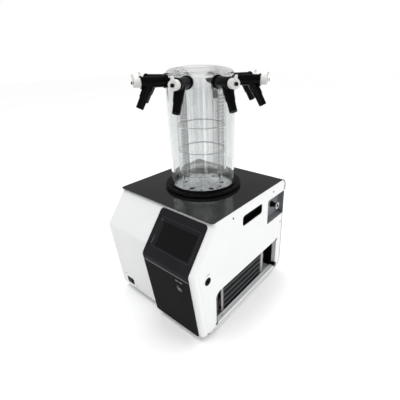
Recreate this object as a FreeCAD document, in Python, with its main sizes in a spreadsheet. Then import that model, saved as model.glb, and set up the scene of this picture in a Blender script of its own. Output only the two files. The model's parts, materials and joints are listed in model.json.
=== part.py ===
"""Benchtop freeze dryer with a clear multi-port drying chamber.

The model stands on the plane z = 0 with +Z up and its front towards -Y.  The origin is the
centre of the footprint of the whole machine.  All lengths are in millimetres.
"""
import FreeCAD
import Part

import math
import os

import Sketcher

from FreeCAD import Placement, Rotation, Vector

os.makedirs("parts", exist_ok=True)
doc = FreeCAD.newDocument("freeze_dryer")
sheet = doc.addObject("Spreadsheet::Sheet", "Sizes")

# ---------------------------------------------------------------------------------------------
# Driving dimensions
# ---------------------------------------------------------------------------------------------
DIMENSIONS = [
    # cabinet
    ("cabinet_width", 476.0),
    ("cabinet_depth", 596.0),
    ("cabinet_height", 442.0),
    ("foot_height", 14.0),
    ("foot_radius", 18.0),
    ("foot_inset_side", 52.0),
    ("foot_inset_front", 110.0),
    ("foot_inset_rear", 50.0),
    ("sheet_gauge", 2.0),
    ("roof_gauge", 4.0),
    ("seam_gap", 0.4),
    ("fit_gap", 0.3),
    ("axis_to_rear", 263.0),
    ("roof_reach", 230.0),
    ("roof_overhang", 1.2),
    ("roof_wrap_radius", 38.0),
    ("roof_wrap_drop", 56.0),
    ("roof_corner_radius", 12.0),
    # front: brow, nose and chin of the console, and the recessed panel beside it
    ("nose_overhang", 2.2),
    ("brow_setback", 5.5),
    ("brow_drop", 11.3),
    ("nose_drop", 148.0),
    ("nose_radius", 20.0),
    ("chin_setback", 39.5),
    ("chin_radius", 30.0),
    ("console_left", 3.5),
    ("console_edge_radius", 17.0),
    ("skin_return", 27.0),
    ("skin_run", 2.5),
    ("bottom_flange", 62.0),
    ("recess_nose_setback", 19.0),
    ("recess_nose_drop", 125.7),
    ("recess_chin_setback", 51.5),
    ("recess_edge_radius", 12.0),
    ("panel_corner_radius", 32.0),
    ("tail_corner_radius", 38.0),
    # control band
    ("band_relief", 3.0),
    ("band_margin", 17.5),
    ("band_top_drop", 3.0),
    ("band_chin_height", 15.0),
    ("band_corner_radius", 14.0),
    ("band_split_drop", 21.0),
    ("trim_width", 2.0),
    ("trim_stand", 0.4),
    ("screen_width", 155.0),
    ("screen_height", 88.0),
    ("screen_offset", 40.5),
    ("screen_drop", 44.5),
    ("screen_gauge", 1.8),
    ("screen_recess", 0.6),
    ("button_x", 173.5),
    ("button_drop", 218.0),
    ("button_radius", 9.5),
    ("button_travel", 2.5),
    ("button_stand", 1.6),
    ("bezel_radius", 12.5),
    ("bezel_stand", 2.0),
    ("button_stem", 16.0),
    # rocker switch on the recessed panel
    ("rocker_x", -172.0),
    ("rocker_rise", 50.0),
    ("rocker_width", 28.0),
    ("rocker_height", 17.0),
    ("rocker_frame", 2.2),
    ("rocker_depth", 14.0),
    ("rocker_pivot_drop", 2.8),
    ("rocker_paddle_top", 5.88),
    ("rocker_tilt", 9.0),
    # side panels
    ("window_front", 182.0),
    ("window_rear", 247.0),
    ("window_sill", 21.0),
    ("window_height", 138.0),
    ("window_radius", 24.0),
    ("window_flange", 17.5),
    ("relief_radius", 5.6),
    ("grommet_radius", 9.0),
    ("grip_centre", 42.0),
    ("grip_width", 134.0),
    ("grip_height", 42.0),
    ("grip_drop", 49.0),
    ("grip_radius", 12.0),
    ("grip_depth", 26.0),
    ("notch_front", 154.0),
    ("notch_drop", 58.0),
    ("notch_height", 108.0),
    ("notch_radius", 8.0),
    ("notch_depth", 28.0),
    ("drain_y", -224.0),
    ("drain_drop", 202.0),
    ("drain_radius", 14.0),
    ("drain_boss_depth", 2.5),
    ("drain_bore", 4.5),
    ("louvre_count", 9.0),
    ("louvre_pitch", 15.0),
    ("louvre_width", 260.0),
    ("louvre_height", 5.0),
    # vacuum connection
    ("vacuum_y", 234.0),
    ("vacuum_drop", 110.0),
    ("vacuum_neck_radius", 10.0),
    ("vacuum_flange_radius", 15.0),
    ("neck_root_radius", 13.5),
    ("vacuum_flange_gauge", 5.0),
    ("vacuum_bore", 8.0),
    # cold trap, gasket and baffle
    ("trap_step", 10.0),
    ("trap_depth", 212.0),
    ("trap_gauge", 2.0),
    ("trap_lip", 4.6),
    ("trap_lip_gauge", 1.5),
    ("jacket_gauge", 26.0),
    ("gasket_band", 26.0),
    ("gasket_height", 15.0),
    ("gasket_lip_height", 22.0),
    ("gasket_lip", 6.0),
    ("gasket_shoulder", 7.2),
    ("gasket_lip_round", 2.7),
    ("gasket_foot", 4.0),
    ("baffle_gauge", 2.0),
    ("baffle_hole_circle", 74.0),
    ("baffle_hole_radius", 9.5),
    # drying chamber
    ("chamber_radius", 125.0),
    ("chamber_wall", 7.0),
    ("chamber_height", 451.0),
    ("dome_radius", 528.0),
    ("shoulder_radius", 28.0),
    ("crown_gauge", 12.0),
    ("port_height", 401.0),
    ("port_radius", 14.0),
    ("port_bore", 9.0),
    ("port_reach", 13.0),
    # stacked rack
    ("rack_margin", 25.0),
    ("rack_wall", 4.0),
    ("rack_leg_radius", 5.0),
    ("rack_leg_inset", 11.0),
    ("rack_base_height", 52.0),
    ("rack_plate_gauge", 3.0),
    ("rack_opening", 58.5),
    ("rack_ring_gauge", 2.0),
    ("rack_ring_width", 9.0),
    ("tier_low", 89.0),
    ("tier_middle", 93.0),
    ("tier_high", 120.0),
    ("rack_top_height", 20.0),
    ("rack_top_hole", 4.5),
    # manifold valves
    ("barrel_radius", 18.5),
    ("barrel_start", 12.5),
    ("barrel_end", 94.0),
    ("barrel_bore", 12.3),
    ("collar_radius", 22.0),
    ("collar_length", 12.0),
    ("lip_radius", 21.0),
    ("lip_length", 5.0),
    ("lip_round", 1.5),
    ("branch_start", 60.0),
    ("branch_lean", 28.0),
    ("branch_length", 95.0),
    ("branch_root_radius", 18.0),
    ("branch_waist_radius", 15.6),
    ("branch_waist", 58.0),
    ("nozzle_root_radius", 15.0),
    ("nozzle_tip_radius", 12.8),
    ("nozzle_bore", 8.0),
    ("nozzle_depth", 58.0),
    ("passage_bore", 6.0),
    ("plug_radius", 12.0),
    ("plug_start", 42.0),
    ("knob_radius", 16.2),
    ("knob_gauge", 22.0),
    ("knob_hole", 6.0),
    ("knob_hole_depth", 22.0),
    ("lever_height", 33.0),
    ("lever_root", 13.0),
    ("lever_tip", 6.0),
    ("lever_gauge", 6.0),
    ("lever_tilt", 14.0),
    # refrigeration set behind the window
    ("core_front", 112.0),
    ("core_rear", 155.0),
    ("core_gauge", 34.0),
    ("core_inset", 31.0),
    ("core_base", 4.0),
    ("fin_pitch", 9.5),
    ("fin_gap", 6.5),
    ("fin_groove", 5.0),
    ("coil_radius", 4.75),
    ("pipe_radius", 3.8),
    ("coil_pitch", 26.0),
    ("coil_runs", 6.0),
    ("coil_stub", 10.0),
    ("end_plate_gauge", 1.5),
    ("end_plate_flange", 16.0),
    ("shroud_gauge", 1.2),
    ("shroud_front", 176.0),
    ("shroud_rear", 251.0),
    ("pump_radius", 57.0),
    ("pump_base_reach", 39.9),
    ("pump_dome_radius", 19.0),
    ("pump_height", 150.0),
    ("pump_x", 100.0),
    ("pump_y", 212.0),
    ("drier_radius", 12.0),
    ("drier_dome_radius", 7.2),
    ("drier_length", 86.0),
    ("drier_y", -158.0),
    # rear
    ("inlet_x", -150.0),
    ("inlet_height", 70.0),
    ("inlet_width", 50.0),
    ("inlet_tall", 28.0),
    ("inlet_depth", 24.0),
    ("tray_wall", 46.0),
]


class Size:
    """A length with both its number and the sheet expression that gives it."""

    def __init__(self, value, text):
        self.value = float(value)
        self.text = text

    @staticmethod
    def of(item):
        """Wrap a plain number, or pass a Size through."""
        if isinstance(item, Size):
            return item
        return Size(item, repr(float(item)))

    def _join(self, sign, other, value):
        return Size(value, "(%s %s %s)" % (self.text, sign, other.text))

    def __add__(self, other):
        other = Size.of(other)
        return self._join("+", other, self.value + other.value)

    def __sub__(self, other):
        other = Size.of(other)
        return self._join("-", other, self.value - other.value)

    def __mul__(self, other):
        other = Size.of(other)
        return self._join("*", other, self.value * other.value)

    def __truediv__(self, other):
        other = Size.of(other)
        return self._join("/", other, self.value / other.value)

    def __radd__(self, other):
        return Size.of(other) + self

    def __rsub__(self, other):
        return Size.of(other) - self

    def __rmul__(self, other):
        return Size.of(other) * self

    def __neg__(self):
        return Size(-self.value, "(0 - %s)" % self.text)

    def root(self):
        """Square root."""
        return Size(math.sqrt(self.value), "sqrt(%s)" % self.text)


sizes = {}
for row, (alias, number) in enumerate(DIMENSIONS, start=1):
    sheet.set("A%d" % row, alias)
    sheet.set("B%d" % row, str(number))
    sheet.setAlias("B%d" % row, alias)
doc.recompute()
for alias, number in DIMENSIONS:
    sizes[alias] = Size(sheet.get(alias), "Sizes." + alias)


def dim(name):
    """The named driving dimension."""
    return sizes[name]


# ---------------------------------------------------------------------------------------------
# Small tools for bound features
# ---------------------------------------------------------------------------------------------
def bind(item, prop, length):
    """Give a property its sheet expression."""
    length = Size.of(length)
    item.setExpression(prop, length.text)


def place(item, x=0, y=0, z=0):
    """Bind the base point of an object's Placement."""
    for axis, length in (("x", x), ("y", y), ("z", z)):
        bind(item, "Placement.Base." + axis, length)
    return item


def box(name, low, high):
    """An upright box between two corners."""
    item = doc.addObject("Part::Box", name)
    for prop, lo, hi in zip(("Length", "Width", "Height"), low, high):
        bind(item, prop, Size.of(hi) - Size.of(lo))
    return place(item, *low)


def cylinder(name, radius, height, base=(0, 0, 0), axis=(0, 0, 1)):
    """A cylinder that starts at base and runs along axis."""
    item = doc.addObject("Part::Cylinder", name)
    item.Placement = Placement(Vector(), Rotation(Vector(0, 0, 1), Vector(*axis)))
    bind(item, "Radius", radius)
    bind(item, "Height", height)
    return place(item, *base)


def cone(name, radius, end_radius, height, base=(0, 0, 0), axis=(0, 0, 1)):
    """A cone frustum that starts at base and runs along axis."""
    item = doc.addObject("Part::Cone", name)
    item.Placement = Placement(Vector(), Rotation(Vector(0, 0, 1), Vector(*axis)))
    bind(item, "Radius1", radius)
    bind(item, "Radius2", end_radius)
    bind(item, "Height", height)
    return place(item, *base)


def cut(name, base, *tools):
    """Base without its tools."""
    tool = tools[0] if len(tools) == 1 else fuse(name + "_tools", *tools)
    item = doc.addObject("Part::Cut", name)
    item.Base = base
    item.Tool = tool
    return item


def fuse(name, *shapes):
    """All shapes as one solid."""
    item = doc.addObject("Part::MultiFuse", name)
    item.Shapes = list(shapes)
    item.Refine = True
    return item


def common(name, base, tool):
    """What two shapes share."""
    item = doc.addObject("Part::Common", name)
    item.Base = base
    item.Tool = tool
    return item


def edge_numbers(shape, test):
    """Numbers of the edges whose middle point passes the test."""
    found = []
    for number, edge in enumerate(shape.Edges, start=1):
        middle = edge.valueAt((edge.FirstParameter + edge.LastParameter) / 2)
        if test(middle, edge):
            found.append(number)
    return found


def round_edges(name, base, radius, test):
    """Part fillet on the edges that pass the test."""
    doc.recompute()
    radius = Size.of(radius)
    item = doc.addObject("Part::Fillet", name)
    item.Base = base
    item.Edges = [(n, radius.value, radius.value) for n in edge_numbers(base.Shape, test)]
    return item


def near(a, b, slack=0.01):
    """Whether two lengths are equal for the purpose of finding an edge."""
    return abs(a - Size.of(b).value) < slack


def body(name):
    """A new PartDesign body."""
    return doc.addObject("PartDesign::Body", name)


def plane(owner, role):
    """One of the body's own origin planes."""
    return [f for f in owner.Origin.OriginFeatures if f.Role == role][0]


def sketch(owner, name, role, offset=0):
    """A sketch flat on one of the body's origin planes, moved along its normal."""
    item = owner.newObject("Sketcher::SketchObject", name)
    item.AttachmentSupport = [(plane(owner, role), "")]
    item.MapMode = "FlatFace"
    bind(item, "AttachmentOffset.Base.z", offset)
    return item


def outline(target, corners):
    """A closed outline of straight runs with every corner bound to the sheet."""
    corners = [(Size.of(u), Size.of(v)) for u, v in corners]
    points = [Vector(u.value, v.value, 0) for u, v in corners]
    first = len(target.Geometry)
    count = len(points)
    for i in range(count):
        target.addGeometry(Part.LineSegment(points[i], points[(i + 1) % count]), False)
    for i in range(count):
        target.addConstraint(
            Sketcher.Constraint("Coincident", first + i, 2, first + (i + 1) % count, 1))
    for i, (u, v) in enumerate(corners):
        for kind, length in (("DistanceX", u), ("DistanceY", v)):
            number = target.addConstraint(
                Sketcher.Constraint(kind, -1, 1, first + i, 1, length.value))
            target.setExpression("Constraints[%d]" % number, length.text)


def ring_outline(target, u, v, radius):
    """A circle bound to the sheet."""
    u, v, radius = Size.of(u), Size.of(v), Size.of(radius)
    number = target.addGeometry(
        Part.Circle(Vector(u.value, v.value, 0), Vector(0, 0, 1), radius.value), False)
    c = target.addConstraint(Sketcher.Constraint("Radius", number, radius.value))
    target.setExpression("Constraints[%d]" % c, radius.text)
    for kind, length in (("DistanceX", u), ("DistanceY", v)):
        c = target.addConstraint(Sketcher.Constraint(kind, -1, 1, number, 3, length.value))
        target.setExpression("Constraints[%d]" % c, length.text)


def pad(owner, name, profile, length):
    """Extrude a sketch along its normal."""
    item = owner.newObject("PartDesign::Pad", name)
    item.Profile = profile
    bind(item, "Length", length)
    profile.Visibility = False
    return item


def pocket(owner, name, profile, length):
    """Cut a sketch against its normal and make sure that it removed something."""
    doc.recompute()
    before = owner.Shape.Volume
    item = owner.newObject("PartDesign::Pocket", name)
    item.Profile = profile
    bind(item, "Length", length)
    doc.recompute()
    if owner.Shape.Volume >= before - 1e-6:
        raise RuntimeError("pocket removes nothing: " + name)
    return item


def fillet(owner, name, radius, test):
    """PartDesign fillet on the body's edges that pass the test."""
    doc.recompute()
    tip = owner.Tip
    numbers = edge_numbers(tip.Shape, test)
    if not numbers:
        raise RuntimeError("no edge for fillet: " + name)
    item = owner.newObject("PartDesign::Fillet", name)
    item.Base = (tip, ["Edge%d" % n for n in numbers])
    bind(item, "Radius", radius)
    return item


def revolve(owner, name, profile):
    """Turn a sketch once round the body's Z axis."""
    item = owner.newObject("PartDesign::Revolution", name)
    item.Profile = profile
    item.ReferenceAxis = (
        [f for f in owner.Origin.OriginFeatures if f.Role == "Z_Axis"][0], [""])
    item.Angle = 360.0
    return item


nodes = []


def finish(item, label):
    """Name a finished piece and list it for export."""
    item.Label = label
    nodes.append(item)
    return item


# ---------------------------------------------------------------------------------------------
# Stations that several pieces share
# ---------------------------------------------------------------------------------------------
half_width = dim("cabinet_width") / 2
skin_x = half_width - dim("roof_overhang")
front_y = dim("nose_overhang") - dim("cabinet_depth") / 2
rear_y = dim("cabinet_depth") / 2
axis_y = rear_y - dim("axis_to_rear")
base_z = dim("foot_height")
roof_z = base_z + dim("cabinet_height")
gauge = dim("sheet_gauge")
seam = dim("seam_gap")
gap = dim("fit_gap")
run = dim("skin_run")
under_roof_z = roof_z - dim("roof_gauge") - seam
brow_y = axis_y - dim("roof_reach") + dim("brow_setback")
brow_z = roof_z - dim("brow_drop")
nose_z = roof_z - dim("nose_drop")
chin_y = front_y + dim("chin_setback")
left_nose_y = front_y + dim("recess_nose_setback")
left_nose_z = roof_z - dim("recess_nose_drop")
left_chin_y = front_y + dim("recess_chin_setback")
inner_rear_y = rear_y - dim("roof_gauge") - seam
chamber_outer = dim("chamber_radius")
chamber_inner = chamber_outer - dim("chamber_wall")
trap_radius = chamber_inner - dim("trap_step")
gasket_radius = chamber_outer + dim("gasket_band")
rack_outer = chamber_inner - dim("rack_margin")
rack_inner = rack_outer - dim("rack_wall")

console_chain = [(brow_y, under_roof_z), (brow_y, brow_z), (front_y, nose_z), (chin_y, base_z)]
left_chain = [(brow_y, under_roof_z), (brow_y, brow_z), (left_nose_y, left_nose_z),
              (left_chin_y, base_z)]

upper_run = brow_y - front_y
upper_drop = brow_z - nose_z
upper_length = (upper_run * upper_run + upper_drop * upper_drop).root()
upper_lean = math.degrees(math.atan2(upper_run.value, upper_drop.value))
lower_run = chin_y - front_y
lower_drop = nose_z - base_z
lower_lean = math.degrees(math.atan2(lower_run.value, lower_drop.value))
left_run = left_chin_y - left_nose_y
left_drop = left_nose_z - base_z
left_lean = math.degrees(math.atan2(left_run.value, left_drop.value))


def front_at(z):
    """Front face of the console below its nose, at a height."""
    return front_y + (nose_z - z) * lower_run / lower_drop


def left_front_at(z):
    """Front face of the recessed panel below its nose, at a height."""
    return left_nose_y + (left_nose_z - z) * left_run / left_drop


def shift(chain, by):
    """A chain moved back from the front."""
    return [(y + by, z) for y, z in chain]


def chain_slab(name, chain, low_x, high_x, depth, floor_z, foot):
    """A chevron slab behind a front chain, with an optional longer foot."""
    owner = body(name)
    profile = sketch(owner, name + "_profile", "YZ_Plane", low_x)
    top_y, top_z = chain[0]
    corners = list(chain[:-1])
    chin_line_y = chain[-1][0]
    corners.append((chin_line_y, floor_z))
    corners.append((chin_line_y + foot, floor_z))
    corners.append((chin_line_y + foot, floor_z + dim("nose_radius")))
    corners.append((top_y + depth, top_z))
    outline(profile, corners)
    pad(owner, name + "_pad", profile, Size.of(high_x) - Size.of(low_x))
    return owner


# ---------------------------------------------------------------------------------------------
# Cabinet skins
# ---------------------------------------------------------------------------------------------
def front_skin(name, chain, low_x, high_x, edge_x, edge_radius, open_side):
    """Bent front skin: nose and chin bends, one rounded upright edge and its return.

    edge_x is the side that carries the rounded edge; open_side is left without a return.
    """
    deep = dim("skin_return") * 3
    foot = left_chin_y - chain[3][0] + dim("bottom_flange")
    outer = chain_slab(name + "_outer", chain, low_x, high_x, deep, base_z, foot)
    nose_y, nose_height = chain[2]
    chin_line_y = chain[3][0]

    def bend(y, z):
        return lambda m, e: near(m.y, y) and near(m.z, z)

    def upright(x):
        def test(m, e):
            middle = chain[3][0].value + dim("bottom_flange").value / 2
            on_top = near(m.z, under_roof_z)
            back = m.y > brow_y.value + 1.0 or (m.y > middle and m.z < brow_z.value - 60)
            return near(m.x, x) and not on_top and not back and not near(m.z, base_z)
        return test

    fillet(outer, name + "_nose", dim("nose_radius"), bend(nose_y, nose_height))
    fillet(outer, name + "_chin", dim("chin_radius"), bend(chin_line_y, base_z))
    fillet(outer, name + "_edge", edge_radius, upright(edge_x))

    # what the side panel and the open back take away
    back_chain = shift(chain, dim("skin_return"))
    back = body(name + "_back")
    profile = sketch(back, name + "_back_profile", "YZ_Plane", low_x - 5)
    corners = list(back_chain[:-1])
    corners.append((back_chain[-1][0], base_z + gauge))
    corners.append((chain[3][0] + dim("bottom_flange") * 3, base_z + gauge))
    corners.append((chain[3][0] + dim("bottom_flange") * 3, under_roof_z + 5))
    corners.append((back_chain[0][0], under_roof_z + 5))
    outline(profile, corners)
    pad(back, name + "_back_pad", profile, Size.of(high_x) - Size.of(low_x) + 10)
    fillet(back, name + "_back_corner", dim("panel_corner_radius") + seam,
           bend(back_chain[-1][0], base_z + gauge))

    # the hollow behind the skin
    inner_chain = shift(chain, run)
    low_in = Size.of(low_x) if open_side == "low" else Size.of(low_x) + run
    high_in = Size.of(high_x) if open_side == "high" else Size.of(high_x) - run
    low_cut = low_in - 5 if open_side == "low" else low_in
    high_cut = high_in + 5 if open_side == "high" else high_in
    inner = body(name + "_inner")
    profile = sketch(inner, name + "_inner_profile", "YZ_Plane", low_cut)
    corners = [(inner_chain[0][0], under_roof_z + 5)] + list(inner_chain[1:-1])
    corners.append((inner_chain[-1][0], base_z + gauge))
    corners.append((chain[3][0] + dim("bottom_flange") * 2, base_z + gauge))
    corners.append((chain[3][0] + dim("bottom_flange") * 2, under_roof_z + 5))
    outline(profile, corners)
    pad(inner, name + "_inner_pad", profile, high_cut - low_cut)
    fillet(inner, name + "_inner_nose", dim("nose_radius") - run,
           bend(inner_chain[2][0], nose_height))
    fillet(inner, name + "_inner_chin", dim("chin_radius") - run,
           bend(inner_chain[-1][0], base_z + gauge))
    edge_in = high_in if near(Size.of(edge_x).value, high_x) else low_in

    def inner_upright(m, e):
        return (near(m.x, edge_in) and m.y < brow_y.value + run.value + 1.0
                and not near(m.z, base_z + gauge) and not near(m.z, under_roof_z + 5)
                and m.y < chain[3][0].value + dim("bottom_flange").value / 2 + 200
                and front_side(m, chain))

    fillet(inner, name + "_inner_edge", edge_radius - run, inner_upright)
    return cut(name, outer, back, inner)


def front_side(point, chain):
    """Whether a point lies on the front half of a slab behind the chain."""
    y, z = point.y, point.z
    (ay, az), (by, bz), (cy, cz) = [(p.value, q.value) for p, q in chain[1:4]]
    if z > az:
        line = ay
    elif z > bz:
        line = by + (ay - by) * (z - bz) / (az - bz)
    else:
        line = cy + (by - cy) * (z - cz) / (bz - cz)
    return y < line + 30


console_skin = front_skin("console", console_chain, dim("console_left"), skin_x, skin_x,
                          dim("console_edge_radius"), None)
left_skin = front_skin("left_skin", left_chain, -skin_x, dim("console_left") - seam,
                       -skin_x, dim("recess_edge_radius"), "high")

slope_turn = 90.0 - upper_lean
lower_turn = 90.0 + lower_lean
left_turn = 90.0 + left_lean


def on_slope(item, origin, degrees, up=0, out=0):
    """Stand a piece on a sloping face: local Y runs up the slope and local Z out of it."""
    x, y, z = origin
    run_share = math.cos(math.radians(degrees))
    rise_share = math.sin(math.radians(degrees))
    item.Placement = Placement(Vector(), Rotation(Vector(1, 0, 0), degrees))
    return place(item, x, y + Size.of(up) * run_share - Size.of(out) * rise_share,
                 z + Size.of(up) * rise_share + Size.of(out) * run_share)


def slope_box(name, origin, degrees, low, high):
    """A box between two corners given in the frame of a sloping face."""
    item = box(name, low, high)
    x, y, z = origin
    return on_slope(item, (x + Size.of(low[0]), y, z), degrees, low[1], low[2])


def slope_cylinder(name, origin, degrees, radius, low, high):
    """A cylinder square to a sloping face, between two heights over it."""
    item = cylinder(name, radius, Size.of(high) - Size.of(low))
    return on_slope(item, origin, degrees, 0, low)


def placed(name, master, rotation, x, y, z):
    """A copy of a master shape, turned and moved."""
    item = doc.addObject("Part::Compound", name)
    item.Links = [master]
    item.Placement = Placement(Vector(), rotation)
    return place(item, x, y, z)


def along(axis):
    """Test for straight edges parallel to an axis."""
    direction = Vector(*axis)

    def test(m, e):
        return (e.Curve.TypeId.endswith("Line")
                and abs(e.tangentAt(e.FirstParameter).dot(direction)) > 0.999)
    return test


# ---------------------------------------------------------------------------------------------
# Control band: upper panel over the nose, bright trim and lower panel
# ---------------------------------------------------------------------------------------------
band_low_x = dim("console_left")
band_high_x = skin_x - dim("band_margin")
relief = dim("band_relief")
split_z = nose_z - dim("band_split_drop")
band_foot_z = base_z + dim("band_chin_height")


def band_slab(name, points, low_x, high_x, thickness):
    """A plate that lies on the console front along a few points of its profile."""
    owner = body(name)
    profile = sketch(owner, name + "_profile", "YZ_Plane", low_x)
    behind = [(y - gap, z) for y, z in points]
    front = [(y - gap - thickness, z) for y, z in points]
    outline(profile, front + behind[::-1])
    pad(owner, name + "_pad", profile, Size.of(high_x) - Size.of(low_x))
    return owner


def short_edges_at(z):
    """Edges through the plate's thickness close to a height."""
    return lambda m, e: (near(m.z, z, 1.0) and e.Length < relief.value * 1.6
                         and (near(m.x, band_low_x) or near(m.x, band_high_x)))


drop_share = dim("band_top_drop") / upper_length
band_top = (brow_y - upper_run * drop_share, brow_z - upper_drop * drop_share)
upper_points = [band_top, (front_y, nose_z), (front_at(split_z), split_z)]
upper_band = band_slab("upper_band_plate", upper_points, band_low_x, band_high_x, relief)
fillet(upper_band, "upper_band_nose", dim("nose_radius") + relief,
       lambda m, e: near(m.y, front_y - gap - relief) and near(m.z, nose_z))
fillet(upper_band, "upper_band_nose_back", dim("nose_radius") + gap,
       lambda m, e: near(m.y, front_y - gap) and near(m.z, nose_z))
band_mask = slope_box("band_mask", (band_low_x, band_top[0], band_top[1]), slope_turn,
                      (0, -upper_length * 2, -upper_length),
                      (band_high_x - band_low_x, 0, upper_length))
mask_round = round_edges("mask_round", band_mask, dim("band_corner_radius"),
                         lambda m, e: (near(m.y, band_top[0]) and near(m.z, band_top[1])
                                       and (near(m.x, band_low_x) or near(m.x, band_high_x))))
band_trimmed = common("band_trimmed", upper_band, mask_round)

trim_top_z = split_z - seam
trim_low_z = trim_top_z - dim("trim_width")
trim_points = [(front_at(trim_top_z), trim_top_z), (front_at(trim_low_z), trim_low_z)]
finish(band_slab("trim_bar", trim_points, band_low_x, band_high_x, relief + dim("trim_stand")),
       "band_trim")

lower_top_z = trim_low_z - seam
lower_points = [(front_at(lower_top_z), lower_top_z), (front_at(band_foot_z), band_foot_z)]
lower_band = band_slab("lower_band_plate", lower_points, band_low_x, band_high_x, relief)
fillet(lower_band, "lower_band_corners", dim("band_corner_radius") / 2,
       short_edges_at(band_foot_z))

# Touch screen: a glass plate let into the sloping part of the upper panel
end_share = (dim("screen_drop") + dim("screen_height")) / upper_length
screen_at = (band_low_x + dim("screen_offset"),
             brow_y - upper_run * end_share - relief - gap,
             brow_z - upper_drop * end_share)
screen_top = -dim("screen_recess")
screen_back = screen_top - dim("screen_gauge")
screen_void = slope_box("screen_void", screen_at, slope_turn,
                        (-gap, -gap, screen_back - gap / 2),
                        (dim("screen_width") + gap, dim("screen_height") + gap, relief * 2))
finish(cut("upper_band", band_trimmed, screen_void), "band_upper")
screen = slope_box("screen_glass", screen_at, slope_turn, (0, 0, screen_back),
                   (dim("screen_width"), dim("screen_height"), screen_top))
finish(screen, "touch_screen")

# Power push button in a metal bezel on the lower panel
button_z = roof_z - dim("button_drop")
button_at = (dim("button_x"), front_at(button_z) - relief - gap, button_z)
barrel_wall = (dim("bezel_radius") - dim("button_radius")) / 2
barrel_radius = dim("button_radius") + barrel_wall
stem = dim("button_stem")
button_hole = slope_cylinder("button_hole", button_at, lower_turn, barrel_radius + gap,
                             -stem * 2, relief * 2)
finish(cut("lower_band", lower_band, button_hole), "band_lower")
bezel_rim = slope_cylinder("bezel_rim", button_at, lower_turn, dim("bezel_radius"),
                           0, dim("bezel_stand"))
bezel_barrel = slope_cylinder("bezel_barrel", button_at, lower_turn, barrel_radius,
                              -stem - dim("button_travel"), 0)
bezel_bore = slope_cylinder("bezel_bore", button_at, lower_turn, dim("button_radius") + gap,
                            -stem * 2, relief * 2)
finish(cut("bezel", fuse("bezel_blank", bezel_rim, bezel_barrel), bezel_bore), "button_bezel")
button_cap = slope_cylinder("button_cap", button_at, lower_turn, dim("button_radius"),
                            -stem, dim("bezel_stand") + dim("button_stand"))
finish(round_edges("button", button_cap, dim("button_stand") / 2,
                   lambda m, e: e.Closed and m.y < button_at[1].value), "power_button")
finish(cut("console_front", console_skin, button_hole), "front_console")

# Rocker switch in a moulded frame on the recessed panel
rocker_z = base_z + dim("rocker_rise")
rocker_at = (dim("rocker_x"), left_front_at(rocker_z), rocker_z)
rocker_u = dim("rocker_width") / 2
rocker_v = dim("rocker_height") / 2
rim = dim("rocker_frame")
sleeve = rim / 2
frame_rim = slope_box("frame_rim", rocker_at, left_turn, (-rocker_u - rim, -rocker_v - rim, 0),
                      (rocker_u + rim, rocker_v + rim, sleeve))
frame_sleeve = slope_box("frame_sleeve", rocker_at, left_turn,
                         (-rocker_u - sleeve, -rocker_v - sleeve, -dim("rocker_depth")),
                         (rocker_u + sleeve, rocker_v + sleeve, 0))
frame_void = slope_box("frame_void", rocker_at, left_turn,
                       (-rocker_u - gap, -rocker_v - gap, -dim("rocker_depth") + sleeve),
                       (rocker_u + gap, rocker_v + gap, rim * 2))
finish(cut("switch_housing", fuse("switch_housing_blank", frame_rim, frame_sleeve), frame_void),
       "switch_frame")
frame_hole = slope_box("frame_hole", rocker_at, left_turn,
                       (-rocker_u - sleeve - gap, -rocker_v - sleeve - gap, -run * 3),
                       (rocker_u + sleeve + gap, rocker_v + sleeve + gap, run))
finish(cut("left_front", left_skin, frame_hole), "front_panel_left")
pivot_drop = dim("rocker_pivot_drop")
paddle_top = dim("rocker_paddle_top")
paddle_block = box("paddle_block", (-rocker_u * 2, -rocker_v, -paddle_top),
                   (rocker_u * 2, rocker_v, paddle_top))
paddle_round = cylinder("paddle_round", rocker_u, rocker_v * 4, (0, rocker_v * -2, 0), (0, 1, 0))
paddle_dish = cylinder("paddle_dish", rocker_u * 3, rocker_v * 4,
                       (0, rocker_v * -2, paddle_top + rocker_u * 3 - sleeve * 1.5), (0, 1, 0))
paddle = cut("paddle", common("paddle_blank", paddle_block, paddle_round), paddle_dish)
rocker_turn = Rotation(Vector(1, 0, 0), left_turn).multiply(
    Rotation(Vector(0, 1, 0), -dim("rocker_tilt").value))
pivot_y = rocker_at[1] + pivot_drop * math.sin(math.radians(left_turn))
pivot_z = rocker_at[2] - pivot_drop * math.cos(math.radians(left_turn))
finish(placed("rocker_paddle", paddle, rocker_turn, rocker_at[0], pivot_y, pivot_z), "rocker")

# ---------------------------------------------------------------------------------------------
# Side panels
# ---------------------------------------------------------------------------------------------
panel_base_z = base_z + gauge + seam
grip_top_z = roof_z - dim("grip_drop")
grip_low_z = grip_top_z - dim("grip_height")
grip_low_y = dim("grip_centre") - dim("grip_width") / 2
grip_high_y = dim("grip_centre") + dim("grip_width") / 2
notch_top_z = roof_z - dim("notch_drop")
notch_low_z = notch_top_z - dim("notch_height")
window_low_z = base_z + dim("window_sill")
window_high_z = window_low_z + dim("window_height")
window_front_y = -dim("window_front")
window_rear_y = dim("window_rear")
drain_z = roof_z - dim("drain_drop")


def rectangle(low_y, high_y, low_z, high_z):
    """Corners of an upright rectangle."""
    return [(low_y, low_z), (high_y, low_z), (high_y, high_z), (low_y, high_z)]


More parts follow.
